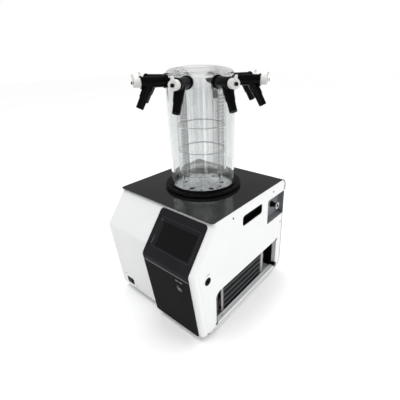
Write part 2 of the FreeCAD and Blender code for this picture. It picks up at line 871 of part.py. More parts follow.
def side_blank(name, low_x, cut_x):
    """A side panel with rounded corners and the slot of its hand grip."""
    owner = body(name)
    profile = sketch(owner, name + "_profile", "YZ_Plane", low_x)
    chain = shift(console_chain if cut_x.value > 0 and low_x.value > 0 else left_chain,
                  dim("skin_return") + seam)
    corners = chain[:-1] + [(chain[-1][0], panel_base_z), (inner_rear_y, panel_base_z),
                            (inner_rear_y, under_roof_z)]
    outline(profile, corners)
    pad(owner, name + "_pad", profile, gauge)
    fillet(owner, name + "_front_corner", dim("panel_corner_radius"),
           lambda m, e: near(m.y, chain[-1][0]) and near(m.z, panel_base_z))
    fillet(owner, name + "_rear_corner", dim("tail_corner_radius") - seam,
           lambda m, e: near(m.y, inner_rear_y) and near(m.z, panel_base_z))
    fillet(owner, name + "_top_corner", dim("roof_wrap_radius") - dim("roof_gauge") - seam,
           lambda m, e: near(m.y, inner_rear_y) and near(m.z, under_roof_z))
    grip = sketch(owner, name + "_grip", "YZ_Plane", cut_x)
    outline(grip, rectangle(grip_low_y, grip_high_y, grip_low_z, grip_top_z))
    pocket(owner, name + "_grip_slot", grip, gauge)
    fillet(owner, name + "_grip_corners", dim("grip_radius"),
           lambda m, e: (e.Length < gauge.value * 1.01 and m.y > grip_low_y.value - 1
                         and m.y < grip_high_y.value + 1 and m.z > grip_low_z.value - 1
                         and m.z < grip_top_z.value + 1))
    return owner


right_side = side_blank("right_side", skin_x - gauge, skin_x)
window = sketch(right_side, "window", "YZ_Plane", skin_x)
outline(window, rectangle(window_front_y, window_rear_y, window_low_z, window_high_z))
pocket(right_side, "window_opening", window, gauge)
fillet(right_side, "window_corner", dim("window_radius"),
       lambda m, e: near(m.y, window_front_y) and near(m.z, window_high_z))
notch = sketch(right_side, "notch", "YZ_Plane", skin_x)
outline(notch, rectangle(dim("notch_front"), rear_y, notch_low_z, notch_top_z))
pocket(right_side, "notch_opening", notch, gauge)
fillet(right_side, "notch_corners", dim("notch_radius"),
       lambda m, e: (near(m.y, dim("notch_front"))
                     and (near(m.z, notch_low_z) or near(m.z, notch_top_z))))
rounds = sketch(right_side, "rounds", "YZ_Plane", skin_x)
ring_outline(rounds, dim("drain_y"), drain_z, dim("drain_radius") + gap)
pocket(right_side, "drain_hole", rounds, gauge)
reliefs = [cylinder("relief_%d" % k, radius, gauge * 4, (skin_x - gauge * 2, y, z), (1, 0, 0))
           for k, (y, z, radius) in enumerate([
               (window_front_y, window_low_z, dim("relief_radius")),
               (window_rear_y, window_low_z, dim("grommet_radius")),
               (window_rear_y, window_high_z, dim("relief_radius"))], start=1)]
flange_x = skin_x - gauge - dim("window_flange")
clear = dim("grommet_radius") + gap
sill_flange = box("sill_flange", (flange_x, window_front_y + clear, window_low_z - gauge),
                  (skin_x - gauge / 2, window_rear_y - clear, window_low_z))
rear_flange = box("rear_flange", (flange_x, window_rear_y, window_low_z + clear),
                  (skin_x - gauge / 2, window_rear_y + gauge, window_high_z - clear))
finish(fuse("right_panel", cut("right_sheet", right_side, *reliefs), sill_flange, rear_flange),
       "side_panel_right")

left_side = side_blank("left_side", -skin_x, gauge - skin_x)
louvres = sketch(left_side, "louvres", "YZ_Plane", gauge - skin_x)
for step in range(int(dim("louvre_count").value)):
    louvre_z = window_low_z + dim("louvre_pitch") * (step + 1)
    outline(louvres, rectangle(-dim("louvre_width") / 2, dim("louvre_width") / 2,
                               louvre_z, louvre_z + dim("louvre_height")))
pocket(left_side, "louvre_slots", louvres, gauge)
finish(left_side, "side_panel_left")


def grip_cup(name, open_x, sign):
    """Open box behind a hand grip slot."""
    deep = dim("grip_depth")
    far_x = open_x - deep * sign
    low_x, high_x = (far_x, open_x) if sign > 0 else (open_x, far_x)
    outer = box(name + "_outer", (low_x, grip_low_y - gauge, grip_low_z - gauge),
                (high_x, grip_high_y + gauge, grip_top_z + gauge))
    shell = round_edges(name + "_shell", outer, dim("grip_radius") + gauge, along((1, 0, 0)))
    low_in = low_x + gauge if sign > 0 else low_x - deep
    high_in = high_x + deep if sign > 0 else high_x - gauge
    inner = box(name + "_inner", (low_in, grip_low_y, grip_low_z),
                (high_in, grip_high_y, grip_top_z))
    hollow = round_edges(name + "_hollow", inner, dim("grip_radius"), along((1, 0, 0)))
    return cut(name, shell, hollow)


finish(grip_cup("right_cup", skin_x - gauge - gap, 1), "handle_cup_right")
finish(grip_cup("left_cup", gauge + gap - skin_x, -1), "handle_cup_left")

drain_body = cylinder("drain_body", dim("drain_radius"), dim("drain_radius"),
                      (half_width - dim("drain_radius"), dim("drain_y"), drain_z), (1, 0, 0))
drain_dish = cylinder("drain_dish", dim("drain_radius") - gauge, gauge,
                      (half_width - gauge / 2, dim("drain_y"), drain_z), (1, 0, 0))
drain_boss = cylinder("drain_boss", dim("drain_bore") + gauge, gauge,
                      (half_width - dim("drain_boss_depth"), dim("drain_y"), drain_z), (1, 0, 0))
drain_bore = cylinder("drain_channel", dim("drain_bore"), dim("drain_radius") * 3,
                      (half_width - dim("drain_radius") * 2, dim("drain_y"), drain_z), (1, 0, 0))
drain_blank = fuse("drain_blank", cut("drain_cup", drain_body, drain_dish), drain_boss)
finish(cut("drain", drain_blank, drain_bore), "drain_port")

# ---------------------------------------------------------------------------------------------
# Roof, base and rear of the cabinet
# ---------------------------------------------------------------------------------------------
roof_front_y = axis_y - dim("roof_reach")
roof_low_z = roof_z - dim("roof_wrap_drop")
far = dim("cabinet_depth")
roof_outer = box("roof_outer", (-half_width, roof_front_y, roof_low_z),
                 (half_width, rear_y, roof_z))
roof_bent = round_edges("roof_bent", roof_outer, dim("roof_wrap_radius"),
                        lambda m, e: near(m.y, rear_y) and near(m.z, roof_z))
roof_shaped = round_edges("roof_shaped", roof_bent, dim("roof_corner_radius"),
                          lambda m, e: (near(m.y, roof_front_y)
                                        and (near(m.x, half_width) or near(m.x, -half_width))))
roof_inner = box("roof_inner", (-half_width - gauge, roof_front_y - far, roof_low_z - far),
                 (half_width + gauge, rear_y - dim("roof_gauge"), roof_z - dim("roof_gauge")))
roof_hollow = round_edges("roof_hollow", roof_inner, dim("roof_wrap_radius") - dim("roof_gauge"),
                          lambda m, e: (near(m.y, rear_y - dim("roof_gauge"))
                                        and near(m.z, roof_z - dim("roof_gauge"))))
vessel_radius = trap_radius + dim("trap_gauge")
roof_hole = cylinder("roof_hole", vessel_radius + gap, dim("roof_wrap_drop"),
                     (0, axis_y, roof_z - dim("roof_wrap_drop") / 2))
finish(cut("roof", roof_shaped, roof_hollow, roof_hole), "top_plate")

tray_front_y = left_chin_y + dim("bottom_flange") + seam
tray_rear_y = rear_y - gauge
tray_top_z = base_z + dim("tray_wall")
tray_outer = box("tray_outer", (-skin_x, tray_front_y, base_z),
                 (skin_x, tray_rear_y, tray_top_z))
tray_bent = round_edges("tray_bent", tray_outer, dim("tail_corner_radius") + gauge,
                        lambda m, e: near(m.y, tray_rear_y) and near(m.z, base_z))
tray_inner = box("tray_inner", (-skin_x - gauge, tray_front_y - far, base_z + gauge),
                 (skin_x + gauge, tray_rear_y - gauge, tray_top_z + far))
tray_hollow = round_edges("tray_hollow", tray_inner, dim("tail_corner_radius"),
                          lambda m, e: (near(m.y, tray_rear_y - gauge)
                                        and near(m.z, base_z + gauge)))
finish(cut("base", tray_bent, tray_hollow), "base_tray")

recess_high_x = skin_x - gauge - gap
recess_low_x = recess_high_x - dim("notch_depth")
rear_sheet = box("rear_sheet", (-skin_x, tray_rear_y - gauge, tray_top_z + seam),
                 (skin_x, tray_rear_y, roof_low_z - seam))
rear_notch = box("rear_notch", (recess_low_x - gap, tray_rear_y - gauge * 2,
                                notch_low_z - gauge - gap),
                 (skin_x + gauge, tray_rear_y + gauge, roof_z))
inlet_z = base_z + dim("inlet_height")
inlet_u = dim("inlet_width") / 2
inlet_v = dim("inlet_tall") / 2
shell_u = inlet_u - gauge * 1.5
shell_v = inlet_v - gauge * 1.5
inlet_hole = box("inlet_hole", (dim("inlet_x") - shell_u - gap, tray_rear_y - gauge * 2,
                                inlet_z - shell_v - gap),
                 (dim("inlet_x") + shell_u + gap, rear_y, inlet_z + shell_v + gap))
finish(cut("rear", rear_sheet, rear_notch, inlet_hole), "rear_panel")

inlet_flange = box("inlet_flange", (dim("inlet_x") - inlet_u, tray_rear_y, inlet_z - inlet_v),
                   (dim("inlet_x") + inlet_u, rear_y, inlet_z + inlet_v))
inlet_shell = box("inlet_shell", (dim("inlet_x") - shell_u, tray_rear_y - dim("inlet_depth"),
                                  inlet_z - shell_v),
                  (dim("inlet_x") + shell_u, tray_rear_y, inlet_z + shell_v))
socket_u = shell_u - gauge * 4
socket_v = shell_v - gauge
socket_floor_y = tray_rear_y - dim("inlet_depth") + gauge
inlet_socket = box("inlet_socket", (dim("inlet_x") - socket_u, socket_floor_y,
                                    inlet_z - socket_v),
                   (dim("inlet_x") + socket_u, rear_y + gauge, inlet_z + socket_v))
inlet_pins = [box("inlet_pin_%d" % k, (dim("inlet_x") + socket_u * share - gauge / 2,
                                       socket_floor_y - gauge / 2, inlet_z - gauge + lift),
                  (dim("inlet_x") + socket_u * share + gauge / 2, rear_y - gauge * 3,
                   inlet_z + gauge + lift))
              for k, (share, lift) in enumerate([(-0.5, -gauge), (0.0, gauge), (0.5, -gauge)],
                                                start=1)]
inlet_cup = cut("inlet_cup", fuse("inlet_blank", inlet_flange, inlet_shell), inlet_socket)
finish(fuse("inlet", inlet_cup, *inlet_pins), "power_inlet")

recess_outer = box("recess_outer", (recess_low_x, dim("notch_front") - gauge,
                                    notch_low_z - gauge),
                   (recess_high_x, tray_rear_y, roof_low_z))
recess_inner = box("recess_inner", (recess_low_x + gauge, dim("notch_front"), notch_low_z),
                   (recess_high_x + far, tray_rear_y - gauge, notch_top_z))
vacuum_z = roof_z - dim("vacuum_drop")
vacuum_hole = cylinder("vacuum_hole", dim("vacuum_bore"), far,
                       (recess_low_x - far / 4, dim("vacuum_y"), vacuum_z), (1, 0, 0))
finish(cut("recess", recess_outer, recess_inner, vacuum_hole), "recess_tray")
neck_x = recess_low_x + gauge
flange_face_x = half_width - dim("vacuum_flange_gauge")
neck = cylinder("neck", dim("vacuum_neck_radius"), flange_face_x - neck_x,
                (neck_x, dim("vacuum_y"), vacuum_z), (1, 0, 0))
neck_root = cylinder("neck_root", dim("neck_root_radius"), gauge * 2,
                     (neck_x, dim("vacuum_y"), vacuum_z), (1, 0, 0))
finish(cut("neck_tube", fuse("neck_blank", neck, neck_root), vacuum_hole), "vacuum_neck")
flange_ring = cylinder("flange_ring", dim("vacuum_flange_radius"), dim("vacuum_flange_gauge"),
                       (flange_face_x, dim("vacuum_y"), vacuum_z), (1, 0, 0))
finish(cut("flange", flange_ring, vacuum_hole), "vacuum_flange")

foot_x = skin_x - dim("foot_inset_side")
foot_front_y = front_y + dim("foot_inset_front")
foot_rear_y = rear_y - dim("foot_inset_rear")
for number, (x, y) in enumerate([(-foot_x, foot_front_y), (foot_x, foot_front_y),
                                 (-foot_x, foot_rear_y), (foot_x, foot_rear_y)], start=1):
    pad_foot = cylinder("foot_pad_%d" % number, dim("foot_radius"), dim("foot_height"), (x, y, 0))
    finish(round_edges("foot_%d_round" % number, pad_foot, gauge,
                       lambda m, e: e.Closed and near(m.z, 0)), "foot_%d" % number)

# ---------------------------------------------------------------------------------------------
# Cold trap under the roof
# ---------------------------------------------------------------------------------------------
trap_floor_z = roof_z - dim("trap_depth")
trap_wall = cylinder("trap_wall", vessel_radius, dim("trap_depth") + dim("trap_gauge"),
                     (0, axis_y, trap_floor_z - dim("trap_gauge")))
trap_rim = cylinder("trap_rim", vessel_radius + dim("trap_lip"), dim("trap_lip_gauge"),
                    (0, axis_y, roof_z))
trap_hollow = cylinder("trap_hollow", trap_radius, dim("trap_depth") * 2,
                       (0, axis_y, trap_floor_z))
finish(cut("trap", fuse("trap_blank", trap_wall, trap_rim), trap_hollow), "cold_trap")
jacket_floor_z = trap_floor_z - dim("trap_gauge") - gap - dim("jacket_gauge")
jacket_outer = cylinder("jacket_outer", vessel_radius + gap + dim("jacket_gauge"),
                        roof_z - dim("roof_gauge") - gap - jacket_floor_z,
                        (0, axis_y, jacket_floor_z))
jacket_inner = cylinder("jacket_inner", vessel_radius + gap, dim("trap_depth") * 2,
                        (0, axis_y, trap_floor_z - dim("trap_gauge") - gap))
finish(cut("jacket", jacket_outer, jacket_inner), "trap_jacket")

# ---------------------------------------------------------------------------------------------
# Refrigeration set behind the window
# ---------------------------------------------------------------------------------------------
core_high_x = skin_x - gauge - dim("core_inset")
core_low_x = core_high_x - dim("core_gauge")
core_low_y = -dim("core_front")
core_high_y = dim("core_rear")
deck_z = base_z + gauge
core_low_z = deck_z + dim("core_base")
coil_x = core_high_x + gap + dim("coil_radius")
coil_low_z = core_low_z + dim("coil_pitch")
runs = int(dim("coil_runs").value)
core_high_z = coil_low_z + dim("coil_pitch") * (runs - 0.5)
core_block = box("core_block", (core_low_x, core_low_y, core_low_z),
                 (core_high_x, core_high_y, core_high_z))
groove_count = int((core_high_y.value - core_low_y.value) / dim("fin_pitch").value)
grooves = [box("fin_groove_%d" % k,
               (core_high_x - dim("fin_groove"),
                core_low_y + dim("fin_pitch") * k + (dim("fin_pitch") - dim("fin_gap")),
                core_low_z - gauge),
               (core_high_x + gauge, core_low_y + dim("fin_pitch") * (k + 1),
                core_high_z + gauge))
           for k in range(groove_count)]
end_gauge = dim("end_plate_gauge")
plate_high_x = coil_x + dim("coil_radius") + gap + end_gauge
end_plates = [box("end_plate_%d" % k, (core_low_x - gauge, y, deck_z),
                  (plate_high_x, y + end_gauge, core_high_z + gauge))
              for k, y in enumerate([core_low_y - end_gauge, core_high_y], start=1)]
end_flanges = [box("end_flange_%d" % k, (plate_high_x - end_gauge, y, deck_z),
                   (plate_high_x, y + dim("end_plate_flange"), core_high_z + gauge))
               for k, y in enumerate([core_low_y - dim("end_plate_flange"), core_high_y],
                                     start=1)]
plate_holes = [cylinder("plate_hole_%d" % k, dim("coil_radius") + gap, far * 2,
                        (coil_x, -far, coil_low_z + dim("coil_pitch") * k), (0, 1, 0))
               for k in range(runs)]
plates_cut = cut("plates_cut", fuse("plates_blank", *end_plates), *plate_holes)
finish(fuse("core", cut("core_fins", core_block, *grooves), plates_cut, *end_flanges),
       "condenser_core")

shroud_high_x = core_low_x - gauge - gap
shroud_low_x = shroud_high_x - dim("shroud_gauge")
shroud_open_x = skin_x - gauge - gap * 3
shroud_front_y = -dim("shroud_front")
shroud_rear_y = dim("shroud_rear")
shroud_top_z = core_high_z + gauge
shroud_outer = box("shroud_outer", (shroud_low_x, shroud_front_y - dim("shroud_gauge"), deck_z),
                   (shroud_open_x, shroud_rear_y + dim("shroud_gauge"), shroud_top_z))
shroud_inner = box("shroud_inner", (shroud_high_x, shroud_front_y, deck_z - gauge),
                   (shroud_open_x + far, shroud_rear_y, shroud_top_z + gauge))
finish(cut("shroud", shroud_outer, shroud_inner), "air_shroud")

bend_radius = dim("coil_pitch") / 2
coil_front_y = core_low_y - dim("coil_stub")
coil_rear_y = core_high_y + dim("coil_stub")
coil_parts = [cylinder("coil_run_%d" % k, dim("coil_radius"), coil_rear_y - coil_front_y,
                       (coil_x, coil_front_y, coil_low_z + dim("coil_pitch") * k), (0, 1, 0))
              for k in range(runs)]
for k in range(runs - 1):
    bend = doc.addObject("Part::Torus", "coil_bend_%d" % k)
    bind(bend, "Radius1", bend_radius)
    bind(bend, "Radius2", dim("coil_radius"))
    bend.Angle3 = 180.0
    at_rear = k % 2 == 0
    facing = Rotation(Vector(0, 1, 0), 90).multiply(Rotation(Vector(0, 0, 1), 0 if at_rear else 180))
    bend.Placement = Placement(Vector(), facing)
    place(bend, coil_x, coil_rear_y if at_rear else coil_front_y,
          coil_low_z + dim("coil_pitch") * k + bend_radius)
    coil_parts.append(bend)
finish(fuse("coil", *coil_parts), "condenser_coil")

drier_low_z = coil_low_z + dim("coil_pitch") / 2
drier_y = dim("drier_y")
pipe_radius = dim("pipe_radius")
drier_can = cylinder("drier_can", dim("drier_radius"), dim("drier_length"),
                     (coil_x, drier_y, drier_low_z))
drier_round = round_edges("drier_round", drier_can, dim("drier_dome_radius"),
                          lambda m, e: e.Closed)
drier_leg = cylinder("drier_leg", pipe_radius, drier_low_z - deck_z + gauge,
                     (coil_x, drier_y, deck_z))
drier_arm = cylinder("drier_arm", pipe_radius, coil_front_y - gap - drier_y,
                     (coil_x, drier_y, coil_low_z), (0, 1, 0))
drier_tip = cylinder("drier_tip", pipe_radius, dim("drier_radius") * 2,
                     (coil_x, drier_y, drier_low_z + dim("drier_length") - gauge))
finish(fuse("drier", drier_round, drier_leg, drier_arm, drier_tip), "filter_drier")

pump_plate = dim("core_base")
pump_reach = dim("pump_base_reach")
pump_base = box("pump_base", (dim("pump_x") - dim("pump_radius"), dim("pump_y") - pump_reach,
                              deck_z),
                (dim("pump_x") + dim("pump_radius"), dim("pump_y") + pump_reach,
                 deck_z + pump_plate))
pump_can = cylinder("pump_can", dim("pump_radius"), dim("pump_height"),
                    (dim("pump_x"), dim("pump_y"), deck_z + pump_plate))
pump_round = round_edges("pump_round", pump_can, dim("pump_dome_radius"),
                         lambda m, e: e.Closed and m.z > dim("pump_height").value / 2)
finish(fuse("pump", pump_base, pump_round), "compressor")

# ---------------------------------------------------------------------------------------------
# Gasket, baffle and clear chamber
# ---------------------------------------------------------------------------------------------
seat_z = roof_z + dim("gasket_foot")
foot_inner = chamber_inner - dim("trap_lip") / 2
gasket = body("gasket")
section = sketch(gasket, "gasket_section", "XZ_Plane")
lip_inner = chamber_outer + gap
lip_outer = lip_inner + dim("gasket_lip")
outline(section, [
    (foot_inner, roof_z),
    (gasket_radius, roof_z),
    (gasket_radius, roof_z + dim("gasket_height")),
    (lip_outer, roof_z + dim("gasket_height")),
    (lip_outer, roof_z + dim("gasket_lip_height")),
    (lip_inner, roof_z + dim("gasket_lip_height")),
    (lip_inner, seat_z),
    (foot_inner, seat_z),
])
revolve(gasket, "gasket_turned", section)
fillet(gasket, "gasket_shoulder", dim("gasket_shoulder"),
       lambda m, e: near(math.hypot(m.x, m.y), gasket_radius) and e.Closed)
fillet(gasket, "gasket_lip_round", dim("gasket_lip_round"),
       lambda m, e: near(m.z, roof_z + dim("gasket_lip_height")) and e.Closed)
place(gasket, 0, axis_y, 0)
finish(gasket, "gasket_ring")

baffle_top_z = seat_z + dim("baffle_gauge")
hole_turn = math.radians(-25)
baffle_disc = cylinder("baffle_disc", chamber_inner - gap, dim("baffle_gauge"),
                       (0, axis_y, seat_z))
baffle_holes = [cylinder("baffle_hole_%d" % k, dim("baffle_hole_radius"),
                         dim("baffle_gauge") * 3,
                         (dim("baffle_hole_circle") * round(math.cos(hole_turn + k * math.pi / 3), 9),
                          axis_y + dim("baffle_hole_circle")
                          * round(math.sin(hole_turn + k * math.pi / 3), 9),
                          seat_z - dim("baffle_gauge")))
                for k in range(6)]
finish(cut("baffle", baffle_disc, *baffle_holes), "baffle_plate")

top_z = seat_z + dim("chamber_height")
sphere_z = top_z - dim("dome_radius")


def bell(name, radius, dome, shoulder, floor_z):
    """A round-shouldered dome on a straight wall."""
    wall = cylinder(name + "_wall", radius, dim("chamber_height") * 1.5, (0, axis_y, floor_z))
    cap = doc.addObject("Part::Sphere", name + "_cap")
    bind(cap, "Radius", dome)
    place(cap, 0, axis_y, sphere_z)
    blank = common(name + "_blank", wall, cap)
    rim_z = sphere_z.value + math.sqrt(dome.value ** 2 - radius.value ** 2)
    return round_edges(name, blank, shoulder, lambda m, e: e.Closed and near(m.z, rim_z, 0.5))


shell = bell("bell_shell", chamber_outer, dim("dome_radius"), dim("shoulder_radius"), seat_z)
hollow = bell("bell_hollow", chamber_inner, dim("dome_radius") - dim("crown_gauge"),
              dim("shoulder_radius") - dim("chamber_wall"), seat_z - gauge)
port_z = seat_z + dim("port_height")
arm_angles = [22.5 + 45.0 * k for k in range(8)]


def radial(name, angle, radius, start, stop):
    """A cylinder that points away from the chamber axis at port height."""
    c = round(math.cos(math.radians(angle)), 9)
    s = round(math.sin(math.radians(angle)), 9)
    return cylinder(name, radius, stop - start, (start * c, axis_y + start * s, port_z),
                    (c, s, 0))


stubs = [radial("stub_%d" % k, angle, dim("port_radius"),
                chamber_outer - dim("chamber_wall") / 2, chamber_outer + dim("port_reach"))
         for k, angle in enumerate(arm_angles, start=1)]
bores = [radial("stub_bore_%d" % k, angle, dim("port_bore"),
                chamber_inner - dim("chamber_wall"), chamber_outer + dim("port_reach") * 2)
         for k, angle in enumerate(arm_angles, start=1)]
open_bell = cut("open_bell", shell, hollow)
finish(cut("bell", fuse("ported_bell", open_bell, *stubs), *bores), "chamber")

# ---------------------------------------------------------------------------------------------
# Stacked rack inside the chamber
# ---------------------------------------------------------------------------------------------
def tube(name, outer, inner, low_z, high_z):
    """A tube round the chamber axis."""
    solid = cylinder(name + "_solid", outer, high_z - low_z, (0, axis_y, low_z))
    core = cylinder(name + "_core", inner, (high_z - low_z) * 2,
                    (0, axis_y, low_z - (high_z - low_z) / 2))
    return cut(name, solid, core)


leg_circle = rack_outer - dim("rack_leg_inset")
plate_low_z = baffle_top_z + dim("rack_base_height")
plate_high_z = plate_low_z + dim("rack_plate_gauge")
leg_turn = hole_turn + math.pi / 6
legs = [cylinder("rack_leg_%d" % k, dim("rack_leg_radius"), dim("rack_base_height") + gauge / 2,
                 (leg_circle * round(math.cos(leg_turn + k * math.pi / 3), 9),
                  axis_y + leg_circle
                  * round(math.sin(leg_turn + k * math.pi / 3), 9), baffle_top_z))
        for k in range(6)]
finish(fuse("base_ring", tube("base_disc", rack_outer, dim("rack_opening"),
                              plate_low_z, plate_high_z), *legs), "rack_base")
level = plate_high_z
for number, height in enumerate([dim("tier_low"), dim("tier_middle"), dim("tier_high")], start=1):
    finish(tube("tier_%d" % number, rack_outer, rack_inner, level, level + height),
           "rack_tier_%d" % number)
    level = level + height
    if number < 3:
        finish(tube("ring_%d" % number, rack_outer, rack_outer - dim("rack_ring_width"),
                    level, level + dim("rack_ring_gauge")), "rack_ring_%d" % number)
        level = level + dim("rack_ring_gauge")
crown = tube("crown", rack_outer, rack_inner, level, level + dim("rack_top_height"))
crown_z = level + dim("rack_top_height") / 2
crown_holes = [cylinder("crown_hole_%d" % k, dim("rack_top_hole"), rack_outer * 4,
                        (rack_outer * -2 * round(math.cos(k * math.pi / 12), 9),
                         axis_y - rack_outer * 2 * round(math.sin(k * math.pi / 12), 9), crown_z),
                        (math.cos(k * math.pi / 12), math.sin(k * math.pi / 12), 0))
               for k in range(12)]
finish(cut("crown_ring", crown, *crown_holes), "rack_top")

# ---------------------------------------------------------------------------------------------
# Manifold valves: one master body and one master knob, copied to eight arms
# ---------------------------------------------------------------------------------------------
def on_arm(name, radius, start, stop):
    """A cylinder along the arm of the master valve, measured from the chamber wall."""
    return cylinder(name, radius, Size.of(stop) - Size.of(start),
                    (chamber_outer + start, 0, 0), (1, 0, 0))


lean = math.radians(dim("branch_lean").value)
down = (math.sin(lean), 0, -math.cos(lean))
branch_root = (chamber_outer + dim("branch_start"), 0, 0)
valve_solids = [
    on_arm("valve_collar", dim("collar_radius"), gap * 2, dim("collar_length") + gap * 2),
    on_arm("valve_barrel", dim("barrel_radius"), dim("barrel_start"), dim("barrel_end")),
    on_arm("valve_lip", dim("lip_radius"), dim("barrel_end") - dim("lip_length"),
           dim("barrel_end")),
    cone("valve_branch", dim("branch_root_radius"), dim("branch_waist_radius"),
         dim("branch_waist"), branch_root, down),
    cone("valve_nozzle", dim("nozzle_root_radius"), dim("nozzle_tip_radius"),
         dim("branch_length"), branch_root, down),
]
stop_run = dim("branch_length") - dim("nozzle_depth")
nozzle_stop = (chamber_outer + dim("branch_start") + stop_run * down[0], 0, stop_run * down[2])
valve_voids = [
    on_arm("stub_void", dim("port_radius") + gap, -gauge, dim("port_reach") + gap),
    on_arm("barrel_passage", dim("port_bore"), 0, dim("plug_start")),
    on_arm("barrel_void", dim("barrel_bore"), dim("plug_start") - gap, dim("barrel_end") + gauge),
    cylinder("branch_void", dim("passage_bore"), dim("branch_length"), branch_root, down),
    cylinder("nozzle_void", dim("nozzle_bore"), dim("nozzle_depth") * 2, nozzle_stop, down),
]
valve_blank = round_edges(
    "valve_blank", fuse("valve_solid", *valve_solids), dim("lip_round"),
    lambda m, e: (e.Closed and near(math.hypot(m.y, m.z), dim("lip_radius"))))
valve_master = cut("valve_master", valve_blank, *valve_voids)

plug_bore = dim("passage_bore")
knob_start = dim("barrel_end") + gap
knob_end = knob_start + dim("knob_gauge")
knob_plug = on_arm("knob_plug", dim("plug_radius"), dim("plug_start"), knob_end)
knob_cap = round_edges("knob_cap", on_arm("knob_disc", dim("knob_radius"), knob_start, knob_end),
                       gauge, lambda m, e: e.Closed and near(m.x, chamber_outer + knob_end))
lever = doc.addObject("Part::Wedge", "knob_lever")
bind(lever, "Xmin", -(dim("lever_root") / 2))
bind(lever, "Xmax", dim("lever_root") / 2)
bind(lever, "X2min", -(dim("lever_tip") / 2))
bind(lever, "X2max", dim("lever_tip") / 2)
bind(lever, "Ymin", 0)
bind(lever, "Ymax", dim("lever_height"))
bind(lever, "Zmin", -(dim("lever_gauge") / 2))
bind(lever, "Zmax", dim("lever_gauge") / 2)
bind(lever, "Z2min", -(dim("lever_gauge") / 2))
bind(lever, "Z2max", dim("lever_gauge") / 2)
lever_face = Rotation(Vector(0, 0, 1), 90).multiply(Rotation(Vector(1, 0, 0), 90))
lever_tilt = Rotation(Vector(0, 1, 0), dim("lever_tilt").value)
lever.Placement = Placement(Vector(), lever_tilt.multiply(lever_face))
place(lever, chamber_outer + knob_end - dim("lever_gauge") / 2 - gauge, 0, 0)
knob_voids = [
    on_arm("knob_socket", dim("knob_hole"), knob_end - dim("knob_hole_depth"), knob_end + gauge),
    on_arm("plug_passage", plug_bore, dim("plug_start") - gauge,
           dim("branch_start") + plug_bore / 2),
    cylinder("plug_port", plug_bore, dim("branch_length"), branch_root, down),
]
knob_master = cut("knob_master", fuse("knob_blank", knob_cap, knob_plug, lever), *knob_voids)

for number, angle in enumerate(arm_angles, start=1):
    about = Rotation(Vector(0, 0, 1), angle)
    finish(placed("valve_%d" % number, valve_master, about, 0, axis_y, port_z),
           "valve_body_%d" % number)
    finish(placed("knob_%d" % number, knob_master, about, 0, axis_y, port_z),
           "valve_knob_%d" % number)

# ---------------------------------------------------------------------------------------------
# Checks and export
# ---------------------------------------------------------------------------------------------
doc.recompute()
bad = [o.Name + " " + ",".join(o.State) for o in doc.Objects
       if any(word in ("Invalid", "Error") for word in o.State)]
if bad:
    raise RuntimeError("objects in a bad state: " + "; ".join(bad))
for item in nodes:
    shape = item.Shape
    if shape.isNull() or not shape.isValid() or len(shape.Solids) != 1 or shape.Volume < 1.0:
        raise RuntimeError("bad shape: %s (%d solids)" % (item.Label, len(shape.Solids)))
for item in nodes:
    item.Shape.exportStep("parts/%s.step" % item.Label)
print("%d nodes written" % len(nodes))
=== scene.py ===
"""Looks of a benchtop freeze dryer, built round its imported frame.

The cabinet stands on the plane z = 0 with its console towards -Y and the condenser window
towards +X.  Sizes in the classes are in millimetres and become metres in the meshes.
"""

import json
import logging
import math
from dataclasses import dataclass
from enum import Enum
from typing import Any, Sequence

import bmesh
import bpy
from mathutils import Matrix, Vector

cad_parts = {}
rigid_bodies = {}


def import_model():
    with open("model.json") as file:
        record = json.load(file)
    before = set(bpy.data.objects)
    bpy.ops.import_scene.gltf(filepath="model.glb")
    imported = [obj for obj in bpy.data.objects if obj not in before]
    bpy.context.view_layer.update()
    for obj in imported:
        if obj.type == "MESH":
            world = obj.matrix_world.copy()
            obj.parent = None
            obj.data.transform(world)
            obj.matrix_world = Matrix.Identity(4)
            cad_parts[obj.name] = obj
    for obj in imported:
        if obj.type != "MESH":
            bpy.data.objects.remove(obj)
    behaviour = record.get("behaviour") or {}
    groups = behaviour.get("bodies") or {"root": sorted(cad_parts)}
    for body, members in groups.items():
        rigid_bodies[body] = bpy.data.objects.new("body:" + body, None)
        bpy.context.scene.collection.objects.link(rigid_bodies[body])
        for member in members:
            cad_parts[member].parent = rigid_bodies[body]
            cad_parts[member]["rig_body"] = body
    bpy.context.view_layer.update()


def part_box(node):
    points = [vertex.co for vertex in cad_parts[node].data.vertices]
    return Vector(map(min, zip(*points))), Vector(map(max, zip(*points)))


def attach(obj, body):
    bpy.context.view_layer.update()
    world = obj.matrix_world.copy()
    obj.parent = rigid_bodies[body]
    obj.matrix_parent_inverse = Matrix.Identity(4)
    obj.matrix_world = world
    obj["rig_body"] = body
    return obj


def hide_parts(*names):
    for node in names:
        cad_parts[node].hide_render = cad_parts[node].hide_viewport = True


LOG = logging.getLogger("freeze_dryer")
MAIN_BODY = "machine"
MM = 0.001
SHARP_DEGREES = 32.0        # edges over this stay sharp when a mesh is shaded smooth
FLAT_DEGREES = 0.4          # facets that turn less than this are one flat face
BEVEL_DEGREES = 45.0        # edges over this get a small rounding
WELD = 1e-6                 # vertices nearer than this, in metres, are one
SEAT = 0.02                 # gap in millimetres between a face and a mark on it
PRINT_LIFT = 0.12           # how far a printed mark stands off its face, in millimetres
CAPITAL_SHARE = 0.7         # height of a capital as a share of the font's size
CLOUD_SPAN = (0.3, 0.7)     # where most values of a noise pattern lie
RELIEF_SHARE = 0.25         # depth of a fine mark as a share of its size
DUST_CATCH = (0.5, 1.0)     # upward part of a normal where dust starts and is full
QUARTER_TURN = (math.radians(90.0), 0.0, 0.0)
RIGHT, LEFT, REAR = (1.0, 0.0, 0.0), (-1.0, 0.0, 0.0), (0.0, 1.0, 0.0)
FRONT = (0.0, -1.0, -0.1)            # the upright panels lean a little downwards
CONSOLE_SLOPE = (0.0, -0.8, 0.6)
